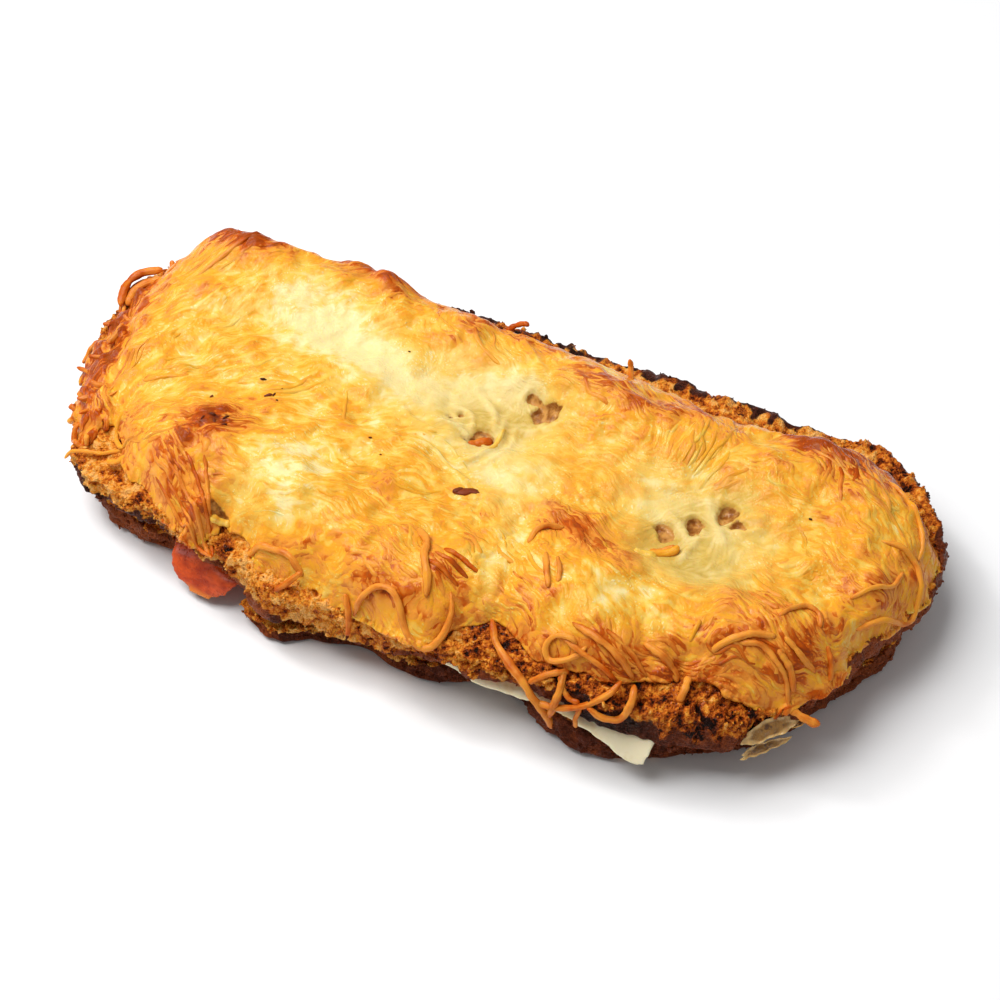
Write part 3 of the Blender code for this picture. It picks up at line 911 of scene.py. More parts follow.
def cheese_material(name, own_fibre=False):
    """Melted cheese, browned by place. A shred swept on its own brings its own fibre."""
    colours = bpy.context.scene.croque_cheese
    graph = Graph(name)
    mottle = graph.noise(430.0, 3.0)
    blotch = graph.noise(170.0, 3.0)
    pimples = graph.noise(1300.0, 2.0)
    level = graph.attribute("browning") + (mottle - 0.5) * 0.26 + (blotch - 0.5) * 0.15
    if own_fibre:
        fibre = graph.noise(1.0, 3.0, graph.attribute("fibre", "Vector"), 0.62)
        level = level + (fibre - 0.5) * 0.36 + graph.attribute("lift") * 0.05
        height, crown = fibre * 0.7 + mottle * 0.4 + pimples * 0.2, fibre * 0.6
    else:
        sway = graph.vector("ADD", graph.wobble(55.0, 1.0, 0.016), graph.wobble(240.0, 1.0, 0.0018))
        bent = graph.vector("ADD", graph.place(), sway)
        crown, tone = fine_shreds(graph, bent)
        calm = 1.0 - 0.6 * graph.attribute("smooth")
        baked = graph.band(level, 0.28, 0.66) * 0.7 + 0.4
        level = level + ((tone - 0.5) * 0.26 + (0.3 - crown) * 0.2) * calm * (baked + 0.2)
        drops = graph.band(0.3 - graph.cells(bent, 950.0) + (blotch - 0.5) * 1.0, 0.0, 0.22)
        level = level - drops * 0.16 + (graph.band(level, 0.4, 0.7) - 0.3) * 0.04
        height = crown * calm * baked * 0.9 + mottle * 0.45 + pimples * 0.38 + drops * 0.15
    stops = [
        (0.08, colours.cream), (0.26, colours.yellow), (0.45, colours.golden),
        (0.64, colours.amber), (0.86, colours.brown), (1.0, colours.deep),
    ]
    base = graph.ramp(level.clipped(), stops)
    wet = graph.attribute("wet")
    haze = graph.band(graph.noise(260.0, 3.0), 0.36, 0.66)
    base = graph.mix((wet * (0.35 + 0.4 * haze)).clipped(), base, colours.milk)
    # Painted shade round the pits, over thin see-through cheese: the colour goes toward whey there.
    pit_shade = graph.attribute("pit_shade") + (mottle - 0.5) * 0.5
    base = graph.mix((pit_shade * (1.0 - crown * 0.8)).clipped(), base, colours.shaded_whey)
    crumb = graph.cover(colours.pit, colours.pit_dark, mottle, 0.35, 0.65)
    base = graph.cover(base, crumb, graph.attribute("pit") + (mottle - 0.5) * 0.5, 0.3, 0.6)
    burnt = graph.attribute("scorch") + (mottle - 0.5) * 1.3
    base = graph.cover(base, colours.char, burnt, 0.3, 0.85)
    normal = graph.relief(height, 0.38 * MM)
    sheen = 0.15 + (mottle - 0.5) * 0.3 + level * 0.08
    return graph.finish(
        base, sheen.clipped(), normal, **soft(0.25, 1.5, 0.45, 0.1), IOR=1.42,
        Specular_IOR_Level=0.17,
    )


# How many rings of points a fused and a loose shred have, and how many short browned ends
# are scattered.
FUSED_RINGS = 13
LOOSE_RINGS = 34
BIT_COUNT = 16
# A shred's cross-section: how far aside and how high, as parts of its width.
FLAT_SECTION = np.array([
    (0.5, -0.16), (0.27, 0.15), (0.0, 0.24), (-0.27, 0.15), (-0.5, -0.16), (0.0, -0.42)])
ROUND_SECTION = np.array([
    (0.5, 0.0), (0.38, 0.26), (0.0, 0.38), (-0.38, 0.26), (-0.5, 0.0), (-0.36, -0.26),
    (0.0, -0.36), (0.36, -0.26)])


def sweep(lines, widths, up, section):
    """Sweeps a section along many lines: points in the shape lines, rings, around, 3."""
    ahead = unit(np.gradient(lines, axis=1))
    across = unit(np.cross(up, ahead))
    rise = np.cross(ahead, across)
    wide = widths[..., None, None]
    return (
        lines[:, :, None]
        + across[:, :, None] * wide * section[:, :1]
        + rise[:, :, None] * wide * section[:, 1:]
    )


def add_shreds(name, points, section, widths, along, pace, values):
    """Makes swept shreds one piece.

    pace is how fast their fibre changes along a shred, across it and from one to the next.
    """
    shape = points.shape[:3]
    number = np.arange(shape[0])[:, None, None]
    side = widths[..., None] * section[:, 0]
    thread = (along[..., None] * pace[0], side * pace[1], number * pace[2])
    values["fibre"] = np.stack(np.broadcast_arrays(*thread), -1)
    values["pit"] = np.zeros(shape)
    flat = {k: np.ascontiguousarray(v).reshape(-1, *v.shape[3:]) for k, v in values.items()}
    add_piece(
        name, points.reshape(-1, 3), tube_faces(*shape), slot="melted_cheese",
        material=cheese_material(name, own_fibre=True), **flat,
    )


def press_in(x, y, width, height):
    """Raises the blanket under the shreds, so that they are fused into it."""
    cover = blanket()
    plan = cover.plan
    bank = np.zeros(plan.shape)
    t = np.linspace(0, 1, 5, endpoint=False)
    xs = (x[:, :-1, None] * (1 - t) + x[:, 1:, None] * t).reshape(len(x), -1)
    ys = (y[:, :-1, None] * (1 - t) + y[:, 1:, None] * t).reshape(len(y), -1)
    turn = np.arctan2(np.gradient(ys, axis=1), np.gradient(xs, axis=1))
    for side in np.linspace(-0.5, 0.5, 7):
        rise = height * math.sqrt(max(0.0, 1 - (2 * side) ** 2 * 0.96))
        aside = side * width
        cells = plan.cell_of(xs - np.sin(turn) * aside, ys + np.cos(turn) * aside)
        np.maximum.at(bank, cells, np.full(xs.shape, rise))
    cover.relief = cover.relief + plan.soften(bank, 0.5 * MM)


class CROQUE_OT_shreds(bpy.types.Operator):
    """Lay the fused shreds in the blanket."""

    bl_idname = "croque.shreds"
    bl_label = "Fused shreds"

    def execute(self, context):
        sizes = context.scene.croque_cheese
        cover = blanket()
        rng = np.random.default_rng(5)
        x, y, along, reach, width, tone = self.lay_out(cover, sizes, rng)
        count, rings = x.shape
        press_in(x, y, 1.1 * sizes.shred_width, 0.22 * MM)
        z = cover.at(cover.plan.soften(cover.surface(), 0.5 * MM), x, y)
        ends = np.abs(2 * along / reach[:, None])
        z += rng.normal(-0.2, 0.1, (count, 1)) * MM - 0.35 * MM * ends**6
        lifted = (rng.random(count) < 0.1) * rng.uniform(0.2, 0.6, count) * MM
        z += lifted[:, None] * np.clip(2 * along / reach[:, None], 0, 1) ** 3
        outside = -cover.at(cover.depth, x, y)
        z -= np.clip(outside - 0.2 * MM, 0, 1) * 1.3
        z -= 0.9 * MM * cover.at(cover.smooth, x, y)
        slope_y, slope_x = np.gradient(cover.plan.soften(cover.body, 0.8 * MM), cover.plan.cell)
        slopes = [-cover.at(slope_x, x, y), -cover.at(slope_y, x, y), np.ones_like(x)]
        up = unit(np.stack(slopes, -1))
        taper = np.sqrt(np.clip(1 - np.linspace(-1, 1, rings) ** 4, 0.02, 1))
        uneven = 1 + 0.09 * rng.normal(size=(count, rings))
        widths = width[:, None] * taper * uneven
        points = sweep(np.stack([x, y, z], -1), widths, up, FLAT_SECTION)
        values = cheese_values(points[..., 0], points[..., 1])
        crown = np.clip(FLAT_SECTION[:, 1] / 0.24, -0.6, 1)
        ground = values["browning"]
        tone = tone[:, None, None] - 0.35 * np.clip(ground - 0.62, 0, 0.4)
        values["browning"] = ground + tone + 0.04 * ends[..., None] ** 2
        values["wet"], values["pit_shade"] = values["wet"] * 0.4, values["pit_shade"] * 0.4
        values["lift"] = np.broadcast_to(crown, points.shape[:3])
        pace = (110, 1500, 7.3)
        add_shreds("fused_shreds", points, FLAT_SECTION, widths, along, pace, values)
        return {"FINISHED"}

    def lay_out(self, cover, sizes, rng):
        """Middle lines that follow the lie of the shreds in loose bundles."""
        plan = cover.plan
        weight = np.where(cover.main > 1.6 * MM, 1.0 - 0.95 * cover.smooth, 0.0)
        weight *= 0.45 + np.clip(cover.browning, 0, 0.8)
        share = np.cumsum(weight.ravel())
        rows = []
        while len(rows) < sizes.shred_count:
            cell = np.searchsorted(share, rng.random() * share[-1])
            x, y = plan.x.flat[cell], plan.y.flat[cell]
            lie = cover.lie.flat[cell] + rng.normal(0, math.radians(26))
            lie += math.pi * rng.integers(2)
            bend = rng.normal(0, 45)
            tone = rng.normal(0.035, 0.07)
            reach = float(np.clip(rng.lognormal(math.log(15 * MM), 0.35), 7 * MM, 30 * MM))
            c, s = math.cos(lie), math.sin(lie)
            together = rng.integers(1, 7)
            for place in range(together):
                aside = (place - together / 2) * rng.uniform(0.8, 1.5) * sizes.shred_width
                ahead = rng.normal(0, 3 * MM)
                rows.append((
                    x + ahead * c - aside * s, y + ahead * s + aside * c,
                    lie + rng.normal(0, 0.12), bend + rng.normal(0, 14),
                    reach * rng.uniform(0.75, 1.25), tone + rng.normal(0, 0.03),
                ))
        x0, y0, heading, bend, reach, tone = np.array(rows[: sizes.shred_count]).T
        step = reach / (FUSED_RINGS - 1)
        c2, s2 = np.cos(2 * cover.lie), np.sin(2 * cover.lie)
        x, y = [x0 - np.cos(heading) * reach / 2], [y0 - np.sin(heading) * reach / 2]
        heading = heading - bend * reach / 2
        phase = rng.uniform(0, math.tau, len(x0))
        wave = rng.normal(0, 0.22, len(x0))
        for ring in range(1, FUSED_RINGS):
            lie = 0.5 * np.arctan2(cover.at(s2, x[-1], y[-1]), cover.at(c2, x[-1], y[-1]))
            lie += math.pi * np.round((heading - lie) / math.pi)
            heading = heading + (lie - heading) * np.clip(step / (22 * MM), 0, 1) + bend * step
            now = heading + wave * np.sin(phase + ring * 0.9)
            x.append(x[-1] + np.cos(now) * step)
            y.append(y[-1] + np.sin(now) * step)
        along = np.linspace(-0.5, 0.5, FUSED_RINGS)[None] * reach[:, None]
        width = sizes.shred_width * np.clip(rng.lognormal(0, 0.26, len(x0)), 0.6, 1.8)
        x, y = np.stack(x, 1), np.stack(y, 1)
        held = cover.at(cover.main, x, y).min(1) > 0.3 * MM
        return x[held], y[held], along[held], reach[held], width[held], tone[held]


# Shreds that lie loose on the blanket: width in mm, browning, then x, y and height above it.
LAID = [
    (1.9, 0.52, [(106.5, 12.4, 0.2), (111.5, 13.5, 0.8), (115.7, 13.1, 0.9), (118.4, 10, 0.9),
        (119.2, 6.5, 0.9), (118.9, 2.3, 0.8), (115.8, -2.5, 0.7), (111.5, -8, 0.8),
        (108.7, -12.6, 0.2)]),
    (1.5, 0.5, [(102, 33, 0.2), (107, 30, 0.8), (112, 26, 0.9), (115.5, 20, 0.7), (116, 15, 0.2)]),
    (1.5, 0.48, [(114, 8, 0.3), (113, 2, 0.8), (109, -3, 0.8), (105, -7, 0.3)]),
    (1.6, 0.6, [(92, -24, 0.2), (94, -19.5, 0.8), (96.5, -16, 0.9), (99.9, -16.3, 0.8),
        (101.7, -20, 0.3)]),
    (1.8, 0.58, [(85.8, -33.5, 0.2), (90.8, -31.8, 0.8), (95, -33, 0.9), (98.3, -34, 0.9),
        (100.5, -36.9, 0.4)]),
    (2.0, 0.56, [(94.5, -31, 0.3), (98.5, -32.2, 0.9), (100.6, -34.5, 0.8)]),
    (1.7, 0.52, [(95, -27.7, 0.2), (99.6, -28.8, 0.9), (104, -28.5, 0.7)]),
    (1.7, 0.62, [(104.4, -22, 0.2), (106.4, -24.5, 0.7), (107.5, -27, 0.4)]),
    (2.2, 0.52, [(79.6, -37, -0.4), (82.7, -34.6, 0.6), (88.6, -30.4, 0.7), (93.1, -28.5, 0.2)]),
    (1.4, 0.4, [(75, -31.5, 0.1), (74.8, -34, 0.7), (74.3, -37, 0.2)]),
    (2.8, 0.16, [(50.8, -14.2, -0.3), (53.0, -13.8, 0.1), (56.6, -12.9, -0.2)]),
    (2.6, 0.4, [(53.2, -13.4, -0.2), (56.6, -12, 0.5), (59.6, -10.4, 0.8), (60.8, -8.6, 1.6)]),
    (1.5, 0.62, [(54.2, -11.6, 0.3), (57, -10.6, 0.8), (59.8, -8.8, 1.4)]),
    (3.2, 0.66, [(-3.2, 4.2, -1.8), (-0.4, 6.2, -1.1), (2.4, 8.4, -1.3)]),
    (2.2, 0.56, [(-44, -47, -0.5), (-37, -46.5, 0.9), (-30, -47, 0.9), (-24, -49, 0.2)]),
    (1.3, 0.66, [(-72, -38, 0.0), (-65, -43, 0.5), (-57, -47.5, 0.5), (-50, -50.5, 0.0)]),
    (1.3, 0.6, [(-69, -35.5, 0.0), (-62, -40.5, 0.6), (-55, -46, 0.6), (-49.5, -51, 0.2)]),
    (1.2, 0.7, [(-65, -33, 0.0), (-59, -38.5, 0.5), (-53.5, -44.5, 0.5), (-50, -49.5, 0.1)]),
    (1.2, 0.62, [(-60, -32.5, 0.0), (-56.5, -38, 0.6), (-53, -44, 0.5)]),
    (1.2, 0.68, [(-68, -39, 0.0), (-61, -43.5, 0.5), (-55, -48.5, 0.2)]),
    (1.5, 0.4, [(-91, -20, 0.1), (-92, -25, 0.5), (-88.5, -28.5, 0.6), (-84, -28, 0.1)]),
    (2.4, 0.2, [(-53, -44, -0.2), (-50.5, -43, 0.4), (-48, -42.5, -0.2)]),
    (1.9, 0.52, [(27, -25, 0.2), (27.2, -21.3, 0.9), (29.4, -18.4, 1.0), (33, -16.6, 0.4)]),
    (1.8, 0.54, [(33.2, -28.5, 0.1), (35.5, -33.5, 0.8), (38, -38.5, 0.4)]),
    (1.4, 0.56, [(36.5, -29, 0.1), (38.5, -32.5, 0.7), (39.5, -36, 0.2)]),
    (1.6, 0.76, [(7.8, -38.5, 0.1), (13, -39.5, 0.6), (18, -41, 0.1)]),
    (1.5, 0.72, [(9, -36, 0.1), (14, -37, 0.6), (19.5, -38.5, 0.1)]),
    (1.5, 0.74, [(7, -41.5, 0.1), (12, -42.5, 0.6), (16.5, -43.8, 0.1)]),
]
# Shreds that hang over the edge: width in mm, browning, then x, y and z in mm.
HANGING = [
    (2.1, 0.56, [(-7.7, -53.5, 21), (-6.2, -52.8, 27), (-2.6, -50.8, 31.4), (1.8, -50.8, 32.2),
        (4.9, -53, 29.6), (6.6, -54.8, 26), (9.5, -56.8, 23.6), (12.4, -57.2, 22.2),
        (15.1, -56.2, 23.2), (17, -52.7, 26.2), (17.2, -49.1, 30.6), (15.6, -46.2, 33.2)]),
    (1.8, 0.6, [(-10.9, -51.6, 25.6), (-9, -54, 21.2), (-8.6, -56, 15.5)]),
    (2.4, 0.56, [(-0.1, -31.8, 34.6), (3.8, -35, 35.6), (6.2, -41.2, 37.2), (8.9, -45.4, 35.6),
        (10.4, -49.4, 32.4)]),
    (2.5, 0.58, [(26.4, -45.8, 27.8), (29.4, -50.3, 25.5), (34.3, -53.8, 24), (38.9, -56.4, 22.4),
        (42.4, -57.6, 18.8), (46.2, -57.6, 13.5), (47.4, -57.4, 9)]),
    (2.0, 0.58, [(40.6, -56.2, 22), (45.1, -54, 25), (49.4, -51.6, 25.6)]),
    (2.2, 0.6, [(48.3, -51.4, 26), (48.6, -56.6, 21.6), (46.8, -57.8, 13.5)]),
    (2.0, 0.6, [(42, -57.4, 17), (48.7, -57.4, 17.8), (55.1, -56.6, 20.8), (60.6, -54, 25.2),
        (62.4, -50.4, 27)]),
    (2.1, 0.62, [(56.5, -57, 21.2), (60.6, -56.8, 19.4), (64.6, -55.8, 20), (66.4, -54, 24.6),
        (65.6, -49.6, 26.4)]),
    (1.7, 0.62, [(47.6, -53.4, 25), (50.8, -55.8, 21.4), (54.2, -56.2, 20.8)]),
    (1.5, 0.62, [(54.6, -56.4, 20.4), (53.6, -57.2, 15.5), (53.8, -57.2, 12.5)]),
    (1.8, 0.52, [(49.6, -48, 31.2), (48.2, -47.4, 32.8), (44.1, -47.6, 32), (42.4, -49.6, 29.6),
        (43.8, -51.4, 27), (47.3, -51.2, 28.2), (50.4, -49.4, 29.6), (52, -47.4, 31.6)]),
    (2.2, 0.6, [(46.6, -43.8, 34.2), (54.4, -46.2, 34.4), (60.6, -47.4, 31.6), (65, -48.4, 26.4)]),
    (1.6, 0.68, [(50, -42, 34.6), (57, -43.6, 34.2), (63, -45, 31.2), (67.4, -46.6, 26.6)]),
    (1.5, 0.66, [(44, -46.6, 32), (51, -49, 31), (57, -49.6, 28.6), (61, -50, 26)]),
    (2.2, 0.56, [(64.4, -41.2, 32), (69.2, -42.4, 31.4), (72.2, -42.6, 28.4), (74.4, -44.2, 25.6)]),
    (2.3, 0.58, [(76.4, -42, 26.5), (76.9, -45.6, 26), (76.5, -48.6, 23.8)]),
    (2.4, 0.62, [(99, -36, 21), (102.5, -36.6, 19.4), (106, -36.6, 18), (108.5, -36, 17.4)]),
    (1.4, 0.44, [(-88, -28.6, 23), (-94, -30, 20.6), (-98.5, -30.6, 20), (-102.5, -31.4, 19),
        (-104.6, -32.4, 16.5)]),
    (1.8, 0.42, [(-84.6, -31, 25), (-87.4, -32.6, 22.6), (-91, -32.8, 21)]),
    (2.0, 0.6, [(-24, -50, 26), (-27, -52.5, 23), (-30, -53.5, 20)]),
    (1.7, 0.6, [(28.5, 40, 32), (27, 43, 35), (26.5, 43.5, 37.6)]),
    (1.9, 0.8, [(-11, 47, 30.5), (-9, 48.6, 32), (-6.5, 49.4, 33), (-5, 49, 33.2)]),
    (3.0, 0.66, [(-118, 21, 22), (-119.6, 27.5, 23.6), (-117.6, 32.2, 25), (-112, 35.4, 26)]),
    (2.8, 0.6, [(-116, 22, 22), (-116.6, 26, 23.2), (-114.6, 29.6, 24.4), (-110.6, 32.8, 25.2)]),
    (2.4, 0.7, [(-117.4, 20, 19.6), (-119, 25, 20.6), (-117.6, 31, 21.8), (-112.6, 35.2, 23)]),
    (1.7, 0.66, [(-111, 36, 23), (-111.6, 39.5, 24), (-112.2, 40.8, 25)]),
    (1.6, 0.66, [(-112, 13.6, 21.5), (-116, 13.2, 22), (-118.6, 12.6, 22)]),
    (1.8, 0.5, [(-109.5, 8, 23), (-111, 2, 22.4), (-109.4, -6, 22), (-105, -14, 21.4)]),
    (1.4, 0.46, [(-110, -4, 22), (-106.6, -11, 21.6), (-102.6, -17, 21), (-99, -22, 20)]),
]


class CROQUE_OT_loose_shreds(bpy.types.Operator):
    """Lay the crisp shreds that lie loose on the blanket and hang over its edge."""

    bl_idname = "croque.loose_shreds"
    bl_label = "Loose shreds"

    def execute(self, context):
        cover = blanket()
        rng = np.random.default_rng(8)
        t = np.linspace(-1, 1, LOOSE_RINGS)
        rows = [*self.laid(cover, t), *self.bits(cover, rng)]
        lines, widths, tones = (np.array(column) for column in zip(*rows))
        taper = np.sqrt(np.clip(1 - np.abs(t) ** 9, 0.12, 1))
        five = np.ones(5) / 5
        uneven = [np.convolve(rng.normal(size=len(t) + 4), five, "valid") for _ in lines]
        broad = widths[:, None] * taper * (0.86 + 0.12 * np.stack(uneven))
        up = np.broadcast_to(np.array((0.15, -0.45, 0.88)), lines.shape)
        points = sweep(lines, broad, up, ROUND_SECTION)
        points = points + (rough(points, 1.3 * MM, 60) * 0.12 * MM)[..., None]
        shape = points.shape[:3]
        values = {key: np.zeros(shape) for key in (*CHEESE_FIELDS, "lie_cos", "lie_sin")}
        crown = ROUND_SECTION[:, 1] / 0.38
        tip = np.abs(t)[:, None] ** 4
        # The tops of the shreds are painted paler and their undersides browner: painted light on top,
        # painted shade below.
        browning = tones[:, None, None] + 0.15 + 0.07 * tip - 0.06 * crown
        values["browning"] = browning + roughs(points, (5, 62, 0.1), (1.6, 63, 0.06))
        values["lift"] = np.broadcast_to(0.4 * crown, shape)
        gone = np.stack([run_length(line) for line in lines])
        pace = (120, 1300, 5.1)
        add_shreds("loose_shreds", points, ROUND_SECTION, broad, gone, pace, values)
        return {"FINISHED"}

    def laid(self, cover, t):
        """The shreds of the tables: a middle line, a width and a browning for each."""
        ground = cover.plan.soften(cover.body + cover.relief, 0.6 * MM)
        for width, tone, path in LAID:
            line = spline(np.array(path) * MM, len(t))
            line[:, 2] += cover.at(ground, line[:, 0], line[:, 1]) - 0.25 * MM
            yield line, width * MM, tone
        sunk = 0.15 + 0.5 * t**4
        for width, _, path in BRIDGES[:3]:
            line = spline(np.array(path) * MM, len(t))
            z = cover.at(ground, line[:, 0], line[:, 1]) - sunk * width * MM
            yield np.column_stack([line, z]), 0.8 * width * MM, 0.1
        for width, tone, path in HANGING:
            yield spline(np.array(path) * MM, len(t)), width * MM, tone

    def bits(self, cover, rng):
        """Short browned ends scattered over the ledge and along the back edge."""
        plan = cover.plan
        along_back = np.exp(-((plan.x / MM + 60) / 34) ** 2 - ((plan.y / MM - 56) / 3.5) ** 2)
        share = np.cumsum((cover.ledge + 0.25 * along_back) * (cover.depth > 0))
        t = np.linspace(-0.5, 0.5, LOOSE_RINGS)
        for _ in range(BIT_COUNT):
            cell = np.searchsorted(share, rng.random() * share[-1])
            x, y = plan.x.flat[cell], plan.y.flat[cell]
            turn = cover.lie.flat[cell] + rng.normal(0, 0.9)
            reach = rng.uniform(3.5, 12) * MM
            angle = turn + rng.normal(0, 1.2) * t
            step = reach / (LOOSE_RINGS - 1)
            line = np.stack([
                x + np.cumsum(np.cos(angle)) * step - 0.5 * reach * math.cos(turn),
                y + np.cumsum(np.sin(angle)) * step - 0.5 * reach * math.sin(turn),
                0 * t,
            ], -1)
            outside = np.clip(-cover.at(cover.depth, line[:, 0], line[:, 1]), 0, 1)
            line[:, 2] = cover.at(cover.body, x, y) - 0.9 * outside
            line[:, 2] += rng.uniform(-0.9, 0.2) * MM + rng.normal(0, 1.4) * MM * t
            yield line, rng.uniform(1.0, 2.2) * MM, rng.normal(0.62, 0.08)


def small_ball(subdivisions):
    """The points and triangles of a small round lump."""
    bm = bmesh.new()
    bmesh.ops.create_icosphere(bm, subdivisions=subdivisions, radius=1.0)
    ball = np.array([v.co for v in bm.verts])
    triangles = np.array([[v.index for v in f.verts] for f in bm.faces])
    bm.free()
    return ball, triangles


class CROQUE_OT_flakes(bpy.types.Operator):
    """Scatter the burnt flakes on the blanket."""

    bl_idname = "croque.flakes"
    bl_label = "Burnt flakes"

    def execute(self, context):
        cover = blanket()
        surface = cover.surface()
        points, shades = [], []
        ball, triangles = small_ball(2)
        for x, y, size, degrees, shade in FLAKES:
            chunk = ball * (1 + 0.45 * rough(ball + x, 0.7, 61))[:, None]
            chunk = chunk * (size, size * 0.42, 0.3) * MM
            c, s = facing(degrees)
            chunk = chunk @ np.array([(c, s, 0), (-s, c, 0), (0, 0, 1)])
            z = float(cover.at(surface, x * MM, y * MM))
            points.append(chunk + (x * MM, y * MM, z + 0.1 * MM))
            shades.append(np.full(len(ball), shade))
        faces = copies(triangles, len(FLAKES), len(ball))
        graph = Graph("burnt_flakes")
        colours = context.scene.croque_cheese
        tone = graph.noise(1500.0, 2.0) * 0.6 + graph.attribute("shade") - 0.3
        base = graph.mix(tone.clipped(), colours.flake, colours.flake_red)
        material = graph.finish(base, 0.45, Specular_IOR_Level=0.15)
        add_piece("burnt_flakes", np.concatenate(points), [faces], material=material,
                  slot="melted_cheese", shade=np.concatenate(shades))
        return {"FINISHED"}


# Burnt flakes: x, y and half-length in mm, direction in degrees, and how reddish.
FLAKES = [
    (-60.5, 0, 0.9, 20, 0.1), (-56.2, -5, 1.2, 40, 0.6), (-55, -4.2, 0.6, 90, 0.4),
    (-53.2, -6, 0.4, 0, 0.1), (-70, -11, 0.7, 70, 0.7), (4.7, -14.2, 3.0, 24, 0.9),
    (6.8, -13.6, 1.6, 10, 0.7), (3.0, -14.6, 1.6, 40, 0.6), (-64, -20.5, 1.0, 10, 0.4),
    (-60.5, -20, 0.9, 60, 0.3), (-62.5, -22.5, 1.0, 120, 0.5), (-59.5, -22.5, 0.8, 30, 0.4),
    (-65.5, -23, 0.8, 80, 0.5), (88, 12, 0.5, 0, 0.1), (-54, -1.5, 0.3, 0, 0.2), (-30, 26, 0.4, 0, 0.2),
    (-25, -8, 0.5, 30, 0.6), (-20, -12, 0.4, 0, 0.6),
]


# Where the rings of the blanket's rounded rim lie: their angles from its middle, in degrees.
SKIRT_TURNS = [62, 38, 14, -12, -38, -62, -85]


def beside(cells):
    """For each cell, the four cells that share a side with it."""
    wide = np.pad(cells, 1)
    return np.stack([wide[:-2, 1:-1], wide[2:, 1:-1], wide[1:-1, :-2], wide[1:-1, 2:]])


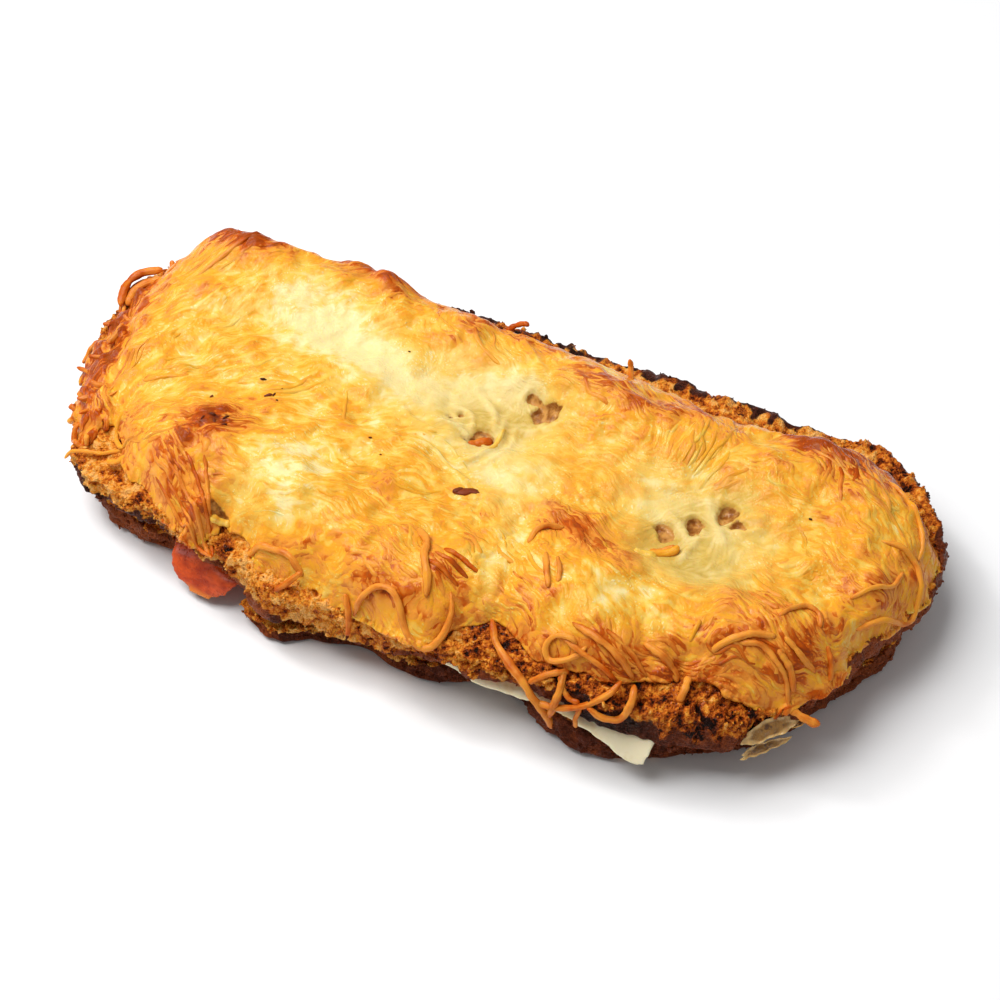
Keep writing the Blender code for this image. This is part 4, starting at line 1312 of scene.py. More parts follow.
class CROQUE_OT_blanket(bpy.types.Operator):
    """Spread the blanket of melted cheese."""

    bl_idname = "croque.blanket"
    bl_label = "Melted blanket"

    def execute(self, context):
        sizes = context.scene.croque_cheese
        cover = blanket()
        low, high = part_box("melted_cheese")
        grid = Plan(low, high, sizes.cell, 3 * MM)
        depth = cover.at(cover.depth, grid.x, grid.y)
        kept = self.keep_cells(depth > EDGE)
        corners = np.zeros(grid.shape, bool)
        for dr, dc in ((0, 0), (0, 1), (1, 0), (1, 1)):
            corners[dr : dr + kept.shape[0], dc : dc + kept.shape[1]] |= kept
        number = np.full(grid.shape, -1)
        number[corners] = np.arange(corners.sum())
        quads = np.stack(
            [number[:-1, :-1], number[:-1, 1:], number[1:, 1:], number[1:, :-1]], -1
        )[kept]
        x, y = grid.x[corners].copy(), grid.y[corners].copy()
        loop = self.outer_loop(quads)
        back, across = np.gradient(cover.plan.soften(cover.depth, 0.8 * MM), cover.plan.cell)
        steep = unit(np.stack([cover.at(across, x, y), cover.at(back, x, y)], -1), 0.3)
        shift = (cover.at(cover.depth, x[loop], y[loop]) - EDGE)[:, None] * steep[loop]
        x[loop] -= np.clip(shift[:, 0], -0.4 * MM, 0.4 * MM)
        y[loop] -= np.clip(shift[:, 1], -0.4 * MM, 0.4 * MM)
        surface = cover.surface()
        z = cover.at(surface, x, y)
        top = np.stack([x, y, z], -1)
        points, groups = self.close(cover, top, quads, loop, -steep[loop])
        px, py = points[:, 0], points[:, 1]
        lift = cover.at((surface - cover.plan.soften(surface, 1.2 * MM)) / MM, px, py)
        values = cheese_values(px, py)
        values["lift"] = np.clip(lift * 2.0, -1.2, 1.2)
        values["pit"] = cover.at(cover.pits, px, py)
        add_piece(
            "melted_blanket", points, groups, node="melted_cheese",
            material=cheese_material("melted_blanket"), **values,
        )
        return {"FINISHED"}

    def keep_cells(self, held):
        """The cells whose corners are all held, without any that touch only at a corner."""
        kept = held[:-1, :-1] & held[:-1, 1:] & held[1:, :-1] & held[1:, 1:]
        for _ in range(12):
            kept &= beside(kept).sum(0) >= 2
            a, b = kept[:-1, :-1], kept[1:, 1:]
            c, d = kept[:-1, 1:], kept[1:, :-1]
            kept[1:, 1:] &= ~(a & b & ~c & ~d)
            kept[1:, :-1] &= ~(c & d & ~a & ~b)
        whole = self.joined(kept, (kept.shape[0] // 2, kept.shape[1] // 2))
        return ~self.joined(~whole, (0, 0))

    def joined(self, kept, first):
        """The kept cells that are joined, side by side, to the first one."""
        joined = np.zeros_like(kept)
        joined[first] = True
        while True:
            grown = (beside(joined).any(0) | joined) & kept
            if (grown == joined).all():
                return joined
            joined = grown

    def outer_loop(self, quads):
        """The rim's points in order, counter-clockwise."""
        edges = np.concatenate([quads[:, [k, (k + 1) % 4]] for k in range(4)])
        size = edges.max() + 1
        there = set((edges[:, 0] * size + edges[:, 1]).tolist())
        rim = [(a, b) for a, b in edges.tolist() if b * size + a not in there]
        following = dict(rim)
        if len(following) != len(rim):
            raise RuntimeError("the blanket's rim touches itself")
        loop = [rim[0][0]]
        while following[loop[-1]] != loop[0]:
            loop.append(following[loop[-1]])
        if len(loop) != len(rim):
            raise RuntimeError("the blanket has a hole")
        return np.array(loop)

    def close(self, cover, top, quads, loop, outward):
        """Rounds the rim down and under, and closes the underside."""
        edge = top[loop]
        base = cover.at(cover.base, edge[:, 0], edge[:, 1])
        gap = np.maximum(edge[:, 2] - base, 0.5 * MM)
        away = evened(outward, 6)
        rows = []
        for turn in np.radians(SKIRT_TURNS):
            out = 0.55 * gap * math.cos(turn)
            row = np.empty_like(edge)
            row[:, :2] = edge[:, :2] + away * out[:, None]
            row[:, 2] = base + gap * (0.5 + 0.5 * math.sin(turn)) - 0.25 * MM
            rows.append(row)
        count, around = len(top), len(loop)
        points = np.concatenate([top, *rows])
        rings = np.concatenate([loop, count + np.arange(len(rows) * around)])
        skirt = rings[np.roll(ring_faces(len(rows) + 1, around)[:, ::-1], 1, 1)]
        last = rings[-around:]
        under = self.under_points(cover)
        flat = [Vector(p) for p in np.concatenate([points[last, :2], under])]
        edges = [(i, (i + 1) % around) for i in range(around)]
        made = delaunay_2d_cdt(flat, edges, [], 1, 1e-7)
        place = {}
        new = []
        for index, origin in enumerate(made[3]):
            rim = [o for o in origin if o < around]
            if rim:
                place[index] = last[rim[0]]
            else:
                place[index] = len(points) + len(new)
                new.append(made[0][index])
        new = np.array([tuple(p) for p in new])
        low = cover.at(cover.base, new[:, 0], new[:, 1]) - 0.2 * MM
        points = np.concatenate([points, np.column_stack([new, low])])
        floor = np.array([[place[v] for v in face][::-1] for face in made[2]])
        return points, [quads, skirt, floor]

    def under_points(self, cover):
        """Evenly spread places inside the rim, for the underside."""
        low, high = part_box("melted_cheese")
        grid = Plan(low, high, 5 * MM, 0)
        held = cover.at(cover.depth, grid.x, grid.y) > 4 * MM
        return np.stack([grid.x[held], grid.y[held]], -1)


# The bread.


# In how many directions a slice's rim is looked for, and how far from the middle at most.
RIM_STEPS = 1440
RIM_REACH = 160 * MM
# A slice's corner, and how far in from the rim its rings stay parallel to it.
CORNER = 2.6 * MM
PARALLEL = 9 * MM
# How many torn crumbs stick to the rim of a slice.
CRUMB_COUNT = 700


class Slice:
    """One slice of bread, as rings of points from the middle of its top round to below."""

    def __init__(self, node, sizes, inset_top, inset_low):
        low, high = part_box(node)
        self.plan = Plan(low, high, 0.5 * MM, 12 * MM)
        top, base, mask = heights(self.plan, node)
        self.depth = self.plan.soften(self.plan.depth(mask, 11 * MM), 1.2 * MM)
        inner = mask & (self.depth > 2.4 * MM)
        self.top = self.plan.spread(top, inner, 2.0 * MM)
        self.low = self.plan.spread(base, inner, 2.0 * MM)
        self.rim = self.outline(sizes.step)
        self.profile = self.sections(sizes.step, inset_top, inset_low)

    def outline(self, step):
        """The rim in plan, evenly stepped, and the way inwards from each of its points."""
        plan = self.plan
        angle = np.linspace(0, math.tau, RIM_STEPS, endpoint=False)
        near, far = np.zeros(RIM_STEPS), np.full(RIM_STEPS, RIM_REACH)
        for _ in range(26):
            middle = (near + far) / 2
            held = plan.read(self.depth, middle * np.cos(angle), middle * np.sin(angle)) > 0
            near, far = np.where(held, middle, near), np.where(held, far, middle)
        points = np.stack([near * np.cos(angle), near * np.sin(angle)], -1)
        closed = np.concatenate([points, points[:1]])
        gone = run_length(closed)
        even = np.linspace(0, gone[-1], int(gone[-1] / step), endpoint=False)
        rim = at_lengths(closed, gone, even)
        ahead = unit(evened(np.roll(rim, -4, 0) - np.roll(rim, 4, 0), 30))
        self.inward = np.stack([-ahead[:, 1], ahead[:, 0]], -1)
        return rim

    def sections(self, step, inset_top, inset_low):
        """The cross-section: distance in from the rim, and height from -1 below to 1 above."""
        fine_top = np.arange(inset_top, CORNER, -step)
        fine_low = np.arange(CORNER, inset_low, step)
        turn = np.linspace(math.pi / 2, 0, 7)
        bend_in = CORNER * (1 - np.cos(turn))
        bend_up = 1 - 0.42 * (1 - np.sin(turn))
        wall = np.linspace(0.58, -0.58, 14)[1:-1]
        coarse = np.geomspace(inset_top * 1.25, 40 * MM, 6)[::-1]
        coarse_low = np.geomspace(inset_low * 1.25, 40 * MM, 6)
        inset = [coarse, fine_top, bend_in, wall * 0, bend_in[::-1], fine_low, coarse_low]
        height = [
            coarse * 0 + 1, fine_top * 0 + 1, bend_up, wall, -bend_up[::-1], fine_low * 0 - 1,
            coarse_low * 0 - 1,
        ]
        return np.concatenate(inset), np.concatenate(height)

    def points(self):
        """The rings of points: parallel to the rim near it, drawn to the middle line inside."""
        inset, height = self.profile
        inset = inset[:, None, None]
        deep = np.clip((inset - PARALLEL) / (40 * MM), 0, 1)
        flat = self.rim + self.inward * np.minimum(inset, PARALLEL)
        flat = flat * (1 - deep) + self.rim * (0.5, 0) * deep
        inner = self.rim + self.inward * np.maximum(inset, CORNER)
        inner = np.where(inset > PARALLEL, flat, inner)
        top = self.plan.read(self.top, inner[..., 0], inner[..., 1])
        low = self.plan.read(self.low, inner[..., 0], inner[..., 1])
        level = low + (top - low) * (0.5 + 0.5 * height[:, None])
        return np.concatenate([flat, level[..., None]], -1)

    def outward(self, points):
        """The outward direction at each point of the rings."""
        around = np.roll(points, -1, 1) - np.roll(points, 1, 1)
        down = np.gradient(points, axis=0)
        return unit(np.cross(down, around), 1e-12)


def bread_material(name):
    """Toasted crumb with pores, and crust where it begins, darker where it is burnt."""
    colours = bpy.context.scene.croque_bread
    graph = Graph(name)
    grain = graph.noise(1700.0, 3.0, roughness=0.75)
    patch = graph.noise(260.0, 4.0, roughness=0.65)
    broad = graph.noise(80.0, 2.0)
    bent = graph.vector("ADD", graph.place(), graph.wobble(420.0, 2.0, 0.0016))
    # The crumb is painted darker in the pockets of the fine cells and in the pores: painted shade in
    # these hollows.
    walls = graph.cells(bent, 760.0) * 0.6 + graph.cells(bent, 1900.0) * 0.5
    pore = graph.attribute("pore")
    crumb_level = walls * 0.5 + 0.46 + (grain - 0.5) * 0.5 + (patch - 0.5) * 2.5 - pore * 0.45
    crumb_level = crumb_level + (broad - 0.5) * 1.0 - graph.attribute("toast") * 0.32
    crumb = graph.ramp(crumb_level.clipped(), [
        (0.0, colours.soot), (0.22, colours.toast), (0.46, colours.crumb), (0.68, colours.amber),
        (0.9, colours.pale),
    ])
    edge = graph.attribute("crust") + (patch - 0.5) * 0.9 + (grain - 0.5) * 0.4
    crust_mask = graph.band(edge, 0.38, 0.62)
    burn = graph.attribute("burn") + (patch - 0.5) * 0.9 + (broad - 0.5) * 0.5
    crust_level = 0.8 - burn * 0.62 + (grain - 0.5) * 0.5 + (walls - 0.5) * 0.25
    crust = graph.ramp(crust_level.clipped(), [
        (0.1, colours.soot), (0.42, colours.crust), (0.72, colours.red_crust),
        (0.95, colours.toast),
    ])
    base = graph.mix(crust_mask, crumb, crust)
    height = grain * 0.45 + walls * (1.3 - crust_mask * 0.5) + patch * 0.7
    normal = graph.relief(height, 0.7 * MM)
    sheen = 0.27 + (grain - 0.5) * 0.4 + (patch - 0.5) * 0.3
    glints = graph.band(grain, 0.54, 0.66) * 0.3
    return graph.finish(
        base, sheen.clipped(), normal, glints, **soft(0.12, 1.2, 0.35, 0.08), IOR=1.42,
        Specular_IOR_Level=0.06, Coat_Roughness=0.12,
    )


# The rim of a slice by direction from the middle: direction in degrees, where its crust begins
# (1 at the top, -1 at the bottom), how burnt that is, how far the rim stands out and hangs down
# in mm, and how dark the crumb is, which along the front (about 220 to 290 degrees) is kept low
# so that the crumb there is painted paler, a painted light on the shaded front.
TOP_CRUST = [
    (0, 0.9, 0.35, -1.2, 0, 0.8), (15, 0.9, 0.6, -0.4, 0, 0.9), (24, 0.8, 0.8, 2.2, 0, 0.7),
    (31, 0.75, 0.8, 3.8, 0, 0.2), (38, 0.75, 0.9, 3.3, 0, 0.1), (49, 0.8, 0.95, 2.6, 0, 0.1),
    (74, 0.85, 0.95, 2.2, 0, 0.5), (99, 0.85, 0.95, 3.0, 0, 0.7), (125, 0.8, 0.9, 2.6, 0, 0.7),
    (140, 0.6, 0.6, 0, 0, 0.6), (150, 0.5, 0.4, -0.5, 0, 0.5), (170, 0.3, 0.35, -1.2, 0, 0.4),
    (183, 0.2, 0.3, -1.8, 0, 0.4), (193, 0, 0.6, -1.0, 0, 0.2), (202, -0.1, 0.95, 0, 0, 0.2),
    (206, -0.3, 0.5, 0, 0, 0.3), (210, -0.3, 0.95, 0, 0, 0.4), (216, -0.6, 0.5, 0, 0, 0.1),
    (222, -0.7, 0.3, -0.4, 1, 0), (229, -0.6, 0.25, -0.6, 1, 0), (233, -0.4, 0.25, 1.6, 4, -0.1),
    (237, -0.2, 0.25, 3.0, 6, -0.1), (240, -0.1, 0.85, 3.0, 6, -0.1), (243, -0.8, 0.4, 1.2, 5, -0.2),
    (249, -0.9, 0.4, 0.8, 5, -0.2), (254, -0.7, 0.5, 0.9, 5.5, 0), (260, -0.7, 0.4, 1.0, 5.5, 0),
    (268, -0.6, 0.6, 0.9, 5.5, 0.3), (272, -0.2, 0.5, 1.0, 5, 0.2), (276, -0.4, 0.5, 0.3, 2, 0),
    (283, -0.4, 0.4, 0, 1, 0), (289, -0.4, 0.45, 0, 0, 0.6), (305, -0.2, 0.5, 0, 0, 0.8),
    (311, 0.1, 0.6, 0.4, 0, 1.0), (315, 0.6, 1.0, 1.4, 2.5, 1.2), (321, 0.5, 1.0, 1.8, 5, 1.2),
    (326, 0, 0.6, 2.2, 7, 1.1), (336, -0.2, 0.45, 2.0, 7, 1.0), (347, 0.7, 0.4, 0.3, 2, 0.7),
]
LOW_CRUST = [
    (0, 0.9, 0.35, -1.0, 0, 0.2), (60, 0.9, 0.45, 0, 0, 0.2), (110, 0.9, 0.6, 0, 0, 0.2),
    (160, 0.8, 0.4, 0, 0, 0.2), (200, 0.6, 0.35, 0, 0, 0.2), (215, 0.6, 0.3, -0.8, 0, 0.3),
    (226, 0.5, 0.3, -0.5, 0, 0.3), (231, 0.1, 0.25, 3.4, 0, 0.2), (238, 0.1, 0.3, 3.6, 0, 0.2),
    (241, 0.2, 0.9, 2.4, 0, 0.2), (246, 0.3, 0.6, -1.6, 0, 0), (251, 0.3, 0.8, -1.8, 0, 0),
    (262, 0.3, 0.4, -4.6, 0, 0.2), (275, 0.4, 0.5, -3.6, 0, 0.4), (285, 0.7, 0.65, -0.3, 0, 0.4),
    (300, 0.9, 0.6, -0.4, 0, 0.5), (309, 0.9, 0.6, 0.8, 0, 0.5), (316, 0.9, 0.7, -0.8, 0, 0.5),
    (330, 0.8, 0.5, -1.6, 0, 0.4), (345, 0.8, 0.4, -1.4, 0, 0.3),
]


def by_direction(table, points, column):
    """A value from the table, evened out between its directions."""
    at = np.degrees(np.arctan2(points[..., 1], points[..., 0])) % 360
    names = [row[0] for row in table] + [table[0][0] + 360]
    values = [row[column] for row in table] + [table[0][column]]
    return np.interp(at, names, values)


def make_slice(name, node, sizes, table, inset_top, inset_low, seed, flat_below=False):
    """Builds one slice of bread with its pores, torn crumb and ragged crust."""
    slab = Slice(node, sizes, inset_top, inset_low)
    points = slab.points()
    inset, height = slab.profile
    rings, around = points.shape[:2]
    start, burn, extra, drop = (by_direction(table, points, column) for column in range(1, 5))
    on_rim = np.clip(1 - inset / (2.2 * MM), -1, 1)[:, None] * np.ones((1, around))
    torn = roughs(points, (7, seed, 0.55), (2.4, seed + 1, 0.45))
    crust = np.clip(0.5 + (start - height[:, None] + torn) * 1.6, 0, 1)
    crust *= np.clip(0.5 + on_rim + torn, 0, 1)
    outward = slab.outward(points)
    near_rim = np.clip(1.5 - inset / (7 * MM), 0, 1)[:, None]
    # The pores are dented into the rim and also painted darker in the material, a painted shade.
    pore = np.zeros((rings, around))
    for step, (size, share) in enumerate(((1.0, 1.0), (0.62, 0.8), (0.4, 0.55))):
        hole = bubbles(points + 3.1 * step, sizes.pore * size, seed + 2 + 30 * step)
        pore = np.maximum(pore, share * np.clip(1 - hole / 0.5, 0, 1) ** 0.6)
    pore = pore * (1 - 0.8 * crust)
    bulge = roughs(points, (12, seed + 4, 0.8), (5, seed + 5, 1.0))
    chips = 0.35 - np.abs(rough(points, 3.4 * MM, seed + 6)) * 1.9
    chips = chips + (0.3 - np.abs(rough(points, 1.7 * MM, seed + 7))) * 1.1
    push = (bulge * 0.95 + chips * (0.85 - 0.25 * crust)) * near_rim
    push = push * sizes.ragged - pore * 1.5 * MM * near_rim - 0.25 * MM * (1 - near_rim)
    hang = drop * MM * np.clip(0.5 - 0.6 * height[:, None], 0, 1) * on_rim.clip(0)
    if flat_below:
        push = push * np.clip((points[..., 2] - 0.4 * MM) / (1.6 * MM), 0, 1) * 1.4
    points = points + outward * push[..., None]
    reach = np.where(extra < 0, PARALLEL, 2.2 * MM)
    shift = extra * MM * np.clip(1 - inset[:, None] / reach, 0, 1)
    points[..., :2] -= slab.inward * shift[..., None]
    points[..., 2] -= hang
    if flat_below:
        points[..., 2] = np.maximum(points[..., 2], 0)
    # Darker toasted crumb, with less of it along the front, where the paler crumb is painted light.
    toast = 0.35 * rough(points, 9 * MM, seed + 8) + by_direction(table, points, 5)
    fields = {"crust": crust, "burn": burn, "pore": pore, "toast": toast}
    material = bread_material(name)
    add_piece(
        name, points.reshape(-1, 3), closed_faces(rings, around), node=node,
        material=material, **{key: field.ravel() for key, field in fields.items()},
    )
    add_crumbs(name + "_crumbs", points, outward, on_rim, fields, material, node, seed)


def add_crumbs(name, points, outward, on_rim, fields, material, node, seed):
    """Covers the rim of a slice with small torn crumbs and crust flakes."""
    rng = np.random.default_rng(seed)
    ball, triangles = small_ball(1)
    weight = np.clip(on_rim, 0, 1) * (points[..., 2] > 1.5 * MM) * (1 - 0.75 * fields["crust"])
    share = np.cumsum(weight)
    picked = np.searchsorted(share, rng.random(CRUMB_COUNT) * share[-1])
    count = len(picked)
    size = np.clip(rng.lognormal(math.log(0.38 * MM), 0.45, count), 0.22 * MM, 1.0 * MM)
    stretch = rng.uniform(0.45, 1.2, (count, 1, 3)) * rng.uniform(0.75, 1.25, (count, len(ball), 1))
    turn = np.linalg.qr(rng.normal(size=(count, 3, 3)))[0]
    turn[np.linalg.det(turn) < 0, 0] *= -1
    shape = np.einsum("nij,nkj->nki", turn, ball[None] * stretch) * size[:, None, None]
    middle = points.reshape(-1, 3)[picked] + outward.reshape(-1, 3)[picked] * 0.2 * MM
    corners = middle[:, None] + shape
    corners[..., 2] = np.maximum(corners[..., 2], 0.1 * MM)
    faces = copies(triangles, count, len(ball))
    values = {key: np.repeat(field.ravel()[picked], len(ball)) for key, field in fields.items()}
    values["pore"] = np.repeat(rng.uniform(-0.6, 0.5, count), len(ball))
    add_piece(name, corners.reshape(-1, 3), [faces], material=material, slot=node, **values)


class CROQUE_OT_top_bread(bpy.types.Operator):
    """Toast the upper slice."""

    bl_idname = "croque.top_bread"
    bl_label = "Upper slice"

    def execute(self, context):
        sizes = context.scene.croque_bread
        make_slice("top_slice", "top_bread", sizes, TOP_CRUST, 14 * MM, 5 * MM, 40)
        return {"FINISHED"}


class CROQUE_OT_bottom_bread(bpy.types.Operator):
    """Toast the lower slice."""

    bl_idname = "croque.bottom_bread"
    bl_label = "Lower slice"

    def execute(self, context):
        sizes = context.scene.croque_bread
        make_slice("bottom_slice", "bottom_bread", sizes, LOW_CRUST, 5 * MM, 9 * MM, 70, True)
        return {"FINISHED"}


# The filling.


def refined(node, size, softenings):
    """An evenly meshed, softened copy of a CAD node's mesh, with faces of this size."""
    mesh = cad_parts[node].data.copy()
    holder = placed(node + "_fine", mesh)
    remesh = holder.modifiers.new("Even", "REMESH")
    remesh.mode = "VOXEL"
    remesh.voxel_size = size
    smooth = holder.modifiers.new("Soft", "SMOOTH")
    smooth.factor = 0.5
    smooth.iterations = softenings
    graph = bpy.context.evaluated_depsgraph_get()
    fine = bpy.data.meshes.new_from_object(holder.evaluated_get(graph))
    bpy.data.objects.remove(holder)
    fine.materials.clear()
    return fine, read_all(fine.vertices, "co"), read_all(fine.vertices, "normal")


def set_points(mesh, points):
    mesh.vertices.foreach_set("co", points.astype(np.float32).ravel())
    mesh.update()


# The ham's front corner, which is drawn out.
HAM_CORNER = np.array((-48, -51, 8)) * MM


class CROQUE_OT_ham(bpy.types.Operator):
    """Cook the ham."""

    bl_idname = "croque.ham"
    bl_label = "Ham"

    def execute(self, context):
        colours = context.scene.croque_filling
        mesh, points, normals = refined("ham", 0.9 * MM, 26)
        push = roughs(points, (6, 90, 0.35), (2, 91, 0.1))
        corner = np.exp(-(((points - HAM_CORNER) / (8 * MM)) ** 2).sum(-1))[:, None]
        points = points + corner * np.array((3.8, -3.2, 0.6)) * MM
        set_points(mesh, points + normals * (push * MM)[:, None])
        low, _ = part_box("ham")
        # The lowest part of the ham is painted in the rim colour, a painted glow of light shining
        # through its thin edge.
        hang = np.clip((low.z + 4.0 * MM - points[:, 2]) / (3 * MM), 0, 1)
        graph = Graph("ham")
        along = {"Vector": graph.place(), "Scale": (260.0, 900.0, 900.0)}
        fibre = graph.noise(1.0, 4.0, graph.node("ShaderNodeMapping", {}, along))
        patch = graph.noise(240.0, 3.0)
        dark = patch + (fibre - 0.5) * 0.5
        base = graph.cover(colours.ham, colours.ham_dark, dark, 0.35, 0.7)
        lit = graph.attribute("rim") + (patch - 0.5) * 0.5
        base = graph.cover(base, colours.ham_rim_glow, lit, 0.1, 0.75)
        drops = graph.band(graph.noise(1300.0, 1.0), 0.6, 0.68)
        normal = graph.relief(fibre * 0.4 + drops * 0.5 + patch * 0.3, 0.3 * MM)
        sheen = (0.34 + (patch - 0.5) * 0.3).clipped()
        constants = soft(0.15, 2, 0.3, 0.15)
        material = graph.finish(base, sheen, normal, **constants, Specular_IOR_Level=0.28)
        add_mesh("ham_slice", mesh, "ham", material, rim=hang)
        return {"FINISHED"}


class CROQUE_OT_cheese_slice(bpy.types.Operator):
    """Lay the slice of cheese."""

    bl_idname = "croque.cheese_slice"
    bl_label = "Cheese slice"

    def execute(self, context):
        colours = context.scene.croque_filling
        mesh, points, normals = refined("cheese_slice", 0.85 * MM, 18)
        push = roughs(points, (9, 95, 0.35), (3, 96, 0.15))
        tucked = np.clip((46 * MM - points[:, 0]) / (14 * MM), 0, 1)[:, None]
        points = points + tucked * np.array((-0.6, 2.4, 0.8)) * MM
        set_points(mesh, points + normals * (push * MM)[:, None])
        graph = Graph("cheese_slice")
        patch = graph.noise(120.0, 3.0)
        fine = graph.noise(900.0, 3.0)
        tone = patch + (fine - 0.5) * 0.3
        base = graph.cover(colours.slice_cream, colours.slice_melted, tone, 0.45, 0.75)
        normal = graph.relief(fine * 0.4 + patch, 0.25 * MM)
        sheen = (0.36 + (fine - 0.5) * 0.2).clipped()
        material = graph.finish(base, sheen, normal, **soft(0.3, 2, 0.7, 0.35))
        add_mesh("slice_of_cheese", mesh, "cheese_slice", material)
        return {"FINISHED"}


class CROQUE_OT_lip(bpy.types.Operator):
    """Fry the crisp lip of cheese."""

    bl_idname = "croque.lip"
    bl_label = "Crisp lip"

    def execute(self, context):
        colours = context.scene.croque_filling
        points, groups, rim = self.leaves()
        graph = Graph("crisp_lip")
        patch = graph.noise(420.0, 3.0)
        fine = graph.noise(1500.0, 3.0)
        spots = patch + (fine - 0.5) * 0.6
        base = graph.cover(colours.lip, colours.lip_dark, spots, 0.46, 0.66)
        # The rim of each leaf is painted paler: a painted highlight along the thin edge.
        pale = graph.attribute("rim") + (patch - 0.5) * 0.4
        base = graph.cover(base, colours.lip_rim_highlight, pale, 0.55, 0.85)
        normal = graph.relief(patch + fine * 0.4, 0.4 * MM)
        sheen = (0.26 + (fine - 0.5) * 0.2).clipped()
        material = graph.finish(base, sheen, normal, **soft(0.25, 1.5, 0.6, 0.3))
        add_piece("lip_of_cheese", points, groups, "crisp_lip", material, rim=rim)
        return {"FINISHED"}

    def leaves(self):
        """Thin curled leaves of cheese, one over the other."""
        low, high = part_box("crisp_lip")
        middle = np.array((low + high) / 2)
        all_points, groups, rims = [], [], []
        for index, (ahead, out, down, half_length, half_width, tilt) in enumerate(LEAVES):
            along = unit(np.array((0.7, 0.7, 0.12)))
            across = unit(np.array((0.4, -0.52, tilt)))
            face = np.cross(along, across)
            face = face if face[2] > 0 else -face
            u, v = np.meshgrid(np.linspace(0, math.tau, 64, endpoint=False),
                               np.linspace(0.02, 1, 16))
            wave = 1 + 0.1 * np.sin(3 * u + index) + 0.07 * np.sin(7 * u + 2 * index)
            x = np.sign(np.cos(u)) * np.abs(np.cos(u)) ** 0.85 * v * half_length * wave
            y = np.sin(u) * v * half_width * wave
            curl = 1.1 * v**5 - 0.5 * v**2 + 0.35 * np.sin(2.2 * x + index) * v
            origin = middle + (along * ahead + across * out) * MM + (0, 0, -down * MM)
            flat = origin + (along * x[..., None] + across * y[..., None]) * MM
            half = 0.45 * (1 - v**8)
            above, below = (flat + face * level[..., None] * MM for level in (curl + half, curl - half))
            points = np.concatenate([above, below[-2::-1]])
            points = points + (rough(points, 2.0 * MM, 97) * 0.35 * MM)[..., None] * face
            rings, around = points.shape[:2]
            start = sum(len(p) for p in all_points)
            groups += [faces + start for faces in closed_faces(rings, around)]
            all_points.append(points.reshape(-1, 3))
            rims.append(np.concatenate([v, v[-2::-1]]).ravel())
        return np.concatenate(all_points), groups, np.concatenate(rims)


# The leaves of the crisp lip: along, out and down from the middle, half-length and half-width
# in mm, and how steeply they hang.
LEAVES = [
    (0.5, 0.6, -2.2, 7.0, 2.4, -0.75), (-0.8, 3.0, 0.2, 6.6, 1.3, -0.9),
    (8.4, 1.4, -1.4, 2.2, 0.8, -0.4),
]


# The lights: where each stands, its size in metres and its part of the key light's power.
LIGHTS = [("key", (-0.42, -0.08, 1.05), 0.82, 1.0), ("glint", (-0.62, 0.1, 0.8), 0.14, 0.12)]
# The camera's lens in mm, and the place that it looks at.
LENS = 85
LOOK_AT = Vector((0.0091, -0.0021, 0.02))
# How far under the sandwich the floor is, and its half-length.
FLOOR_GAP = 0.2 * MM
FLOOR_SIZE = 2.5


def aimed(name, data, place, towards):
    """A light or a camera at this place that looks this way."""
    made = placed(name, data)
    made.location = place
    made.rotation_mode = "QUATERNION"
    made.rotation_quaternion = towards.to_track_quat("-Z", "Y")
    return made


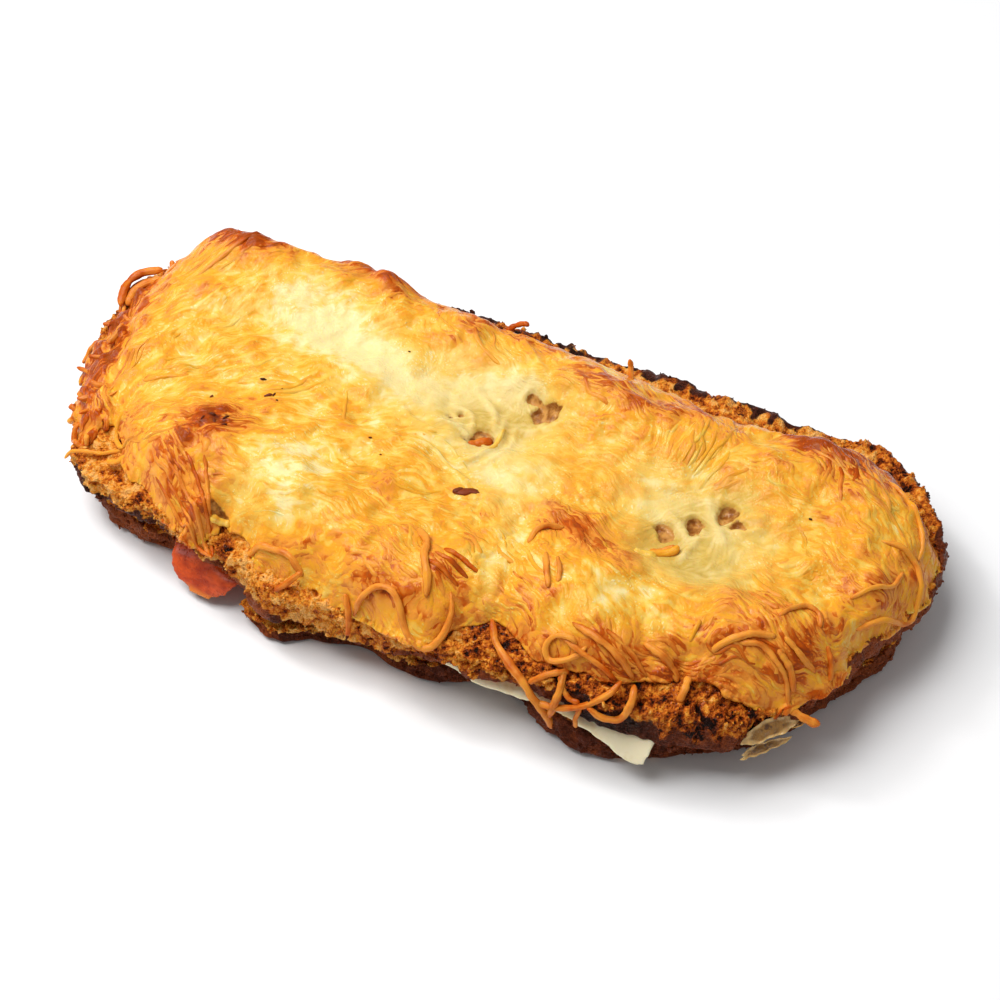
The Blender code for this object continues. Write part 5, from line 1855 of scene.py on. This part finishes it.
class CROQUE_OT_stage(bpy.types.Operator):
    """Set the floor, the lights and the camera."""

    bl_idname = "croque.stage"
    bl_label = "Stage"

    def execute(self, context):
        stage = context.scene.croque_stage
        self.floor(stage)
        self.lights(context.scene, stage)
        self.camera(context.scene, stage)
        context.scene.view_settings.view_transform = "Standard"
        return {"FINISHED"}

    def floor(self, stage):
        """A plain white floor just under the sandwich."""
        bm = bmesh.new()
        bmesh.ops.create_grid(bm, x_segments=2, y_segments=2, size=FLOOR_SIZE)
        mesh = bpy.data.meshes.new("floor")
        bm.to_mesh(mesh)
        bm.free()
        floor = placed("floor", mesh)
        floor.location.z = -FLOOR_GAP
        graph = Graph("floor")
        tone = graph.mix(graph.noise(3.0), stage.floor, tuple(0.99 * c for c in stage.floor))
        mesh.materials.append(graph.finish(tone, 0.85, Specular_IOR_Level=0.2))

    def lights(self, scene, stage):
        """An even white sky and the lights of the list."""
        world = bpy.data.worlds.new("sky")
        world.use_nodes = True
        sky = world.node_tree.nodes["Background"].inputs
        sky["Color"].default_value = (1, 1, 1, 1)
        sky["Strength"].default_value = stage.sky
        scene.world = world
        for name, place, size, share in LIGHTS:
            light = bpy.data.lights.new(name, "AREA")
            light.energy = stage.key * share
            light.size = size
            aimed(name, light, Vector(place), -Vector(place))

    def camera(self, scene, stage):
        """A camera that looks at the sandwich from the front, at its azimuth and elevation."""
        data = bpy.data.cameras.new("camera")
        data.lens = LENS
        data.clip_start = 0.01
        a, e = stage.azimuth, stage.elevation
        back = Vector((math.sin(a) * math.cos(e), -math.cos(a) * math.cos(e), math.sin(e)))
        scene.camera = aimed("camera", data, LOOK_AT + back * stage.distance, -back)


class CROQUE_PT_panel(bpy.types.Panel):
    """Lists the pieces of the croque monsieur."""

    bl_idname = "CROQUE_PT_panel"
    bl_label = "Croque monsieur"
    bl_space_type = "VIEW_3D"
    bl_region_type = "UI"
    bl_category = "Croque"

    def draw(self, context):
        for operator in OPERATORS:
            self.layout.operator(operator.bl_idname)
        for name in GROUPS:
            group = getattr(context.scene, name)
            box = self.layout.box()
            for key in group.__annotations__:
                box.prop(group, key)


GROUPS = {
    "croque_cheese": CroqueCheese,
    "croque_bread": CroqueBread,
    "croque_filling": CroqueFilling,
    "croque_stage": CroqueStage,
}
OPERATORS = [
    CROQUE_OT_bottom_bread,
    CROQUE_OT_ham,
    CROQUE_OT_cheese_slice,
    CROQUE_OT_top_bread,
    CROQUE_OT_lip,
    CROQUE_OT_shreds,
    CROQUE_OT_blanket,
    CROQUE_OT_loose_shreds,
    CROQUE_OT_flakes,
    CROQUE_OT_stage,
]


def register():
    for name, group in GROUPS.items():
        bpy.utils.register_class(group)
        setattr(bpy.types.Scene, name, PointerProperty(type=group))
    for operator in OPERATORS:
        bpy.utils.register_class(operator)
    bpy.utils.register_class(CROQUE_PT_panel)


def unregister():
    bpy.utils.unregister_class(CROQUE_PT_panel)
    for operator in reversed(OPERATORS):
        bpy.utils.unregister_class(operator)
    for name, group in reversed(GROUPS.items()):
        delattr(bpy.types.Scene, name)
        bpy.utils.unregister_class(group)


def main():
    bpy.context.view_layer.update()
    register()
    for operator in OPERATORS:
        kind, name = operator.bl_idname.split(".")
        getattr(getattr(bpy.ops, kind), name)()


if __name__ == "__main__":
    main()
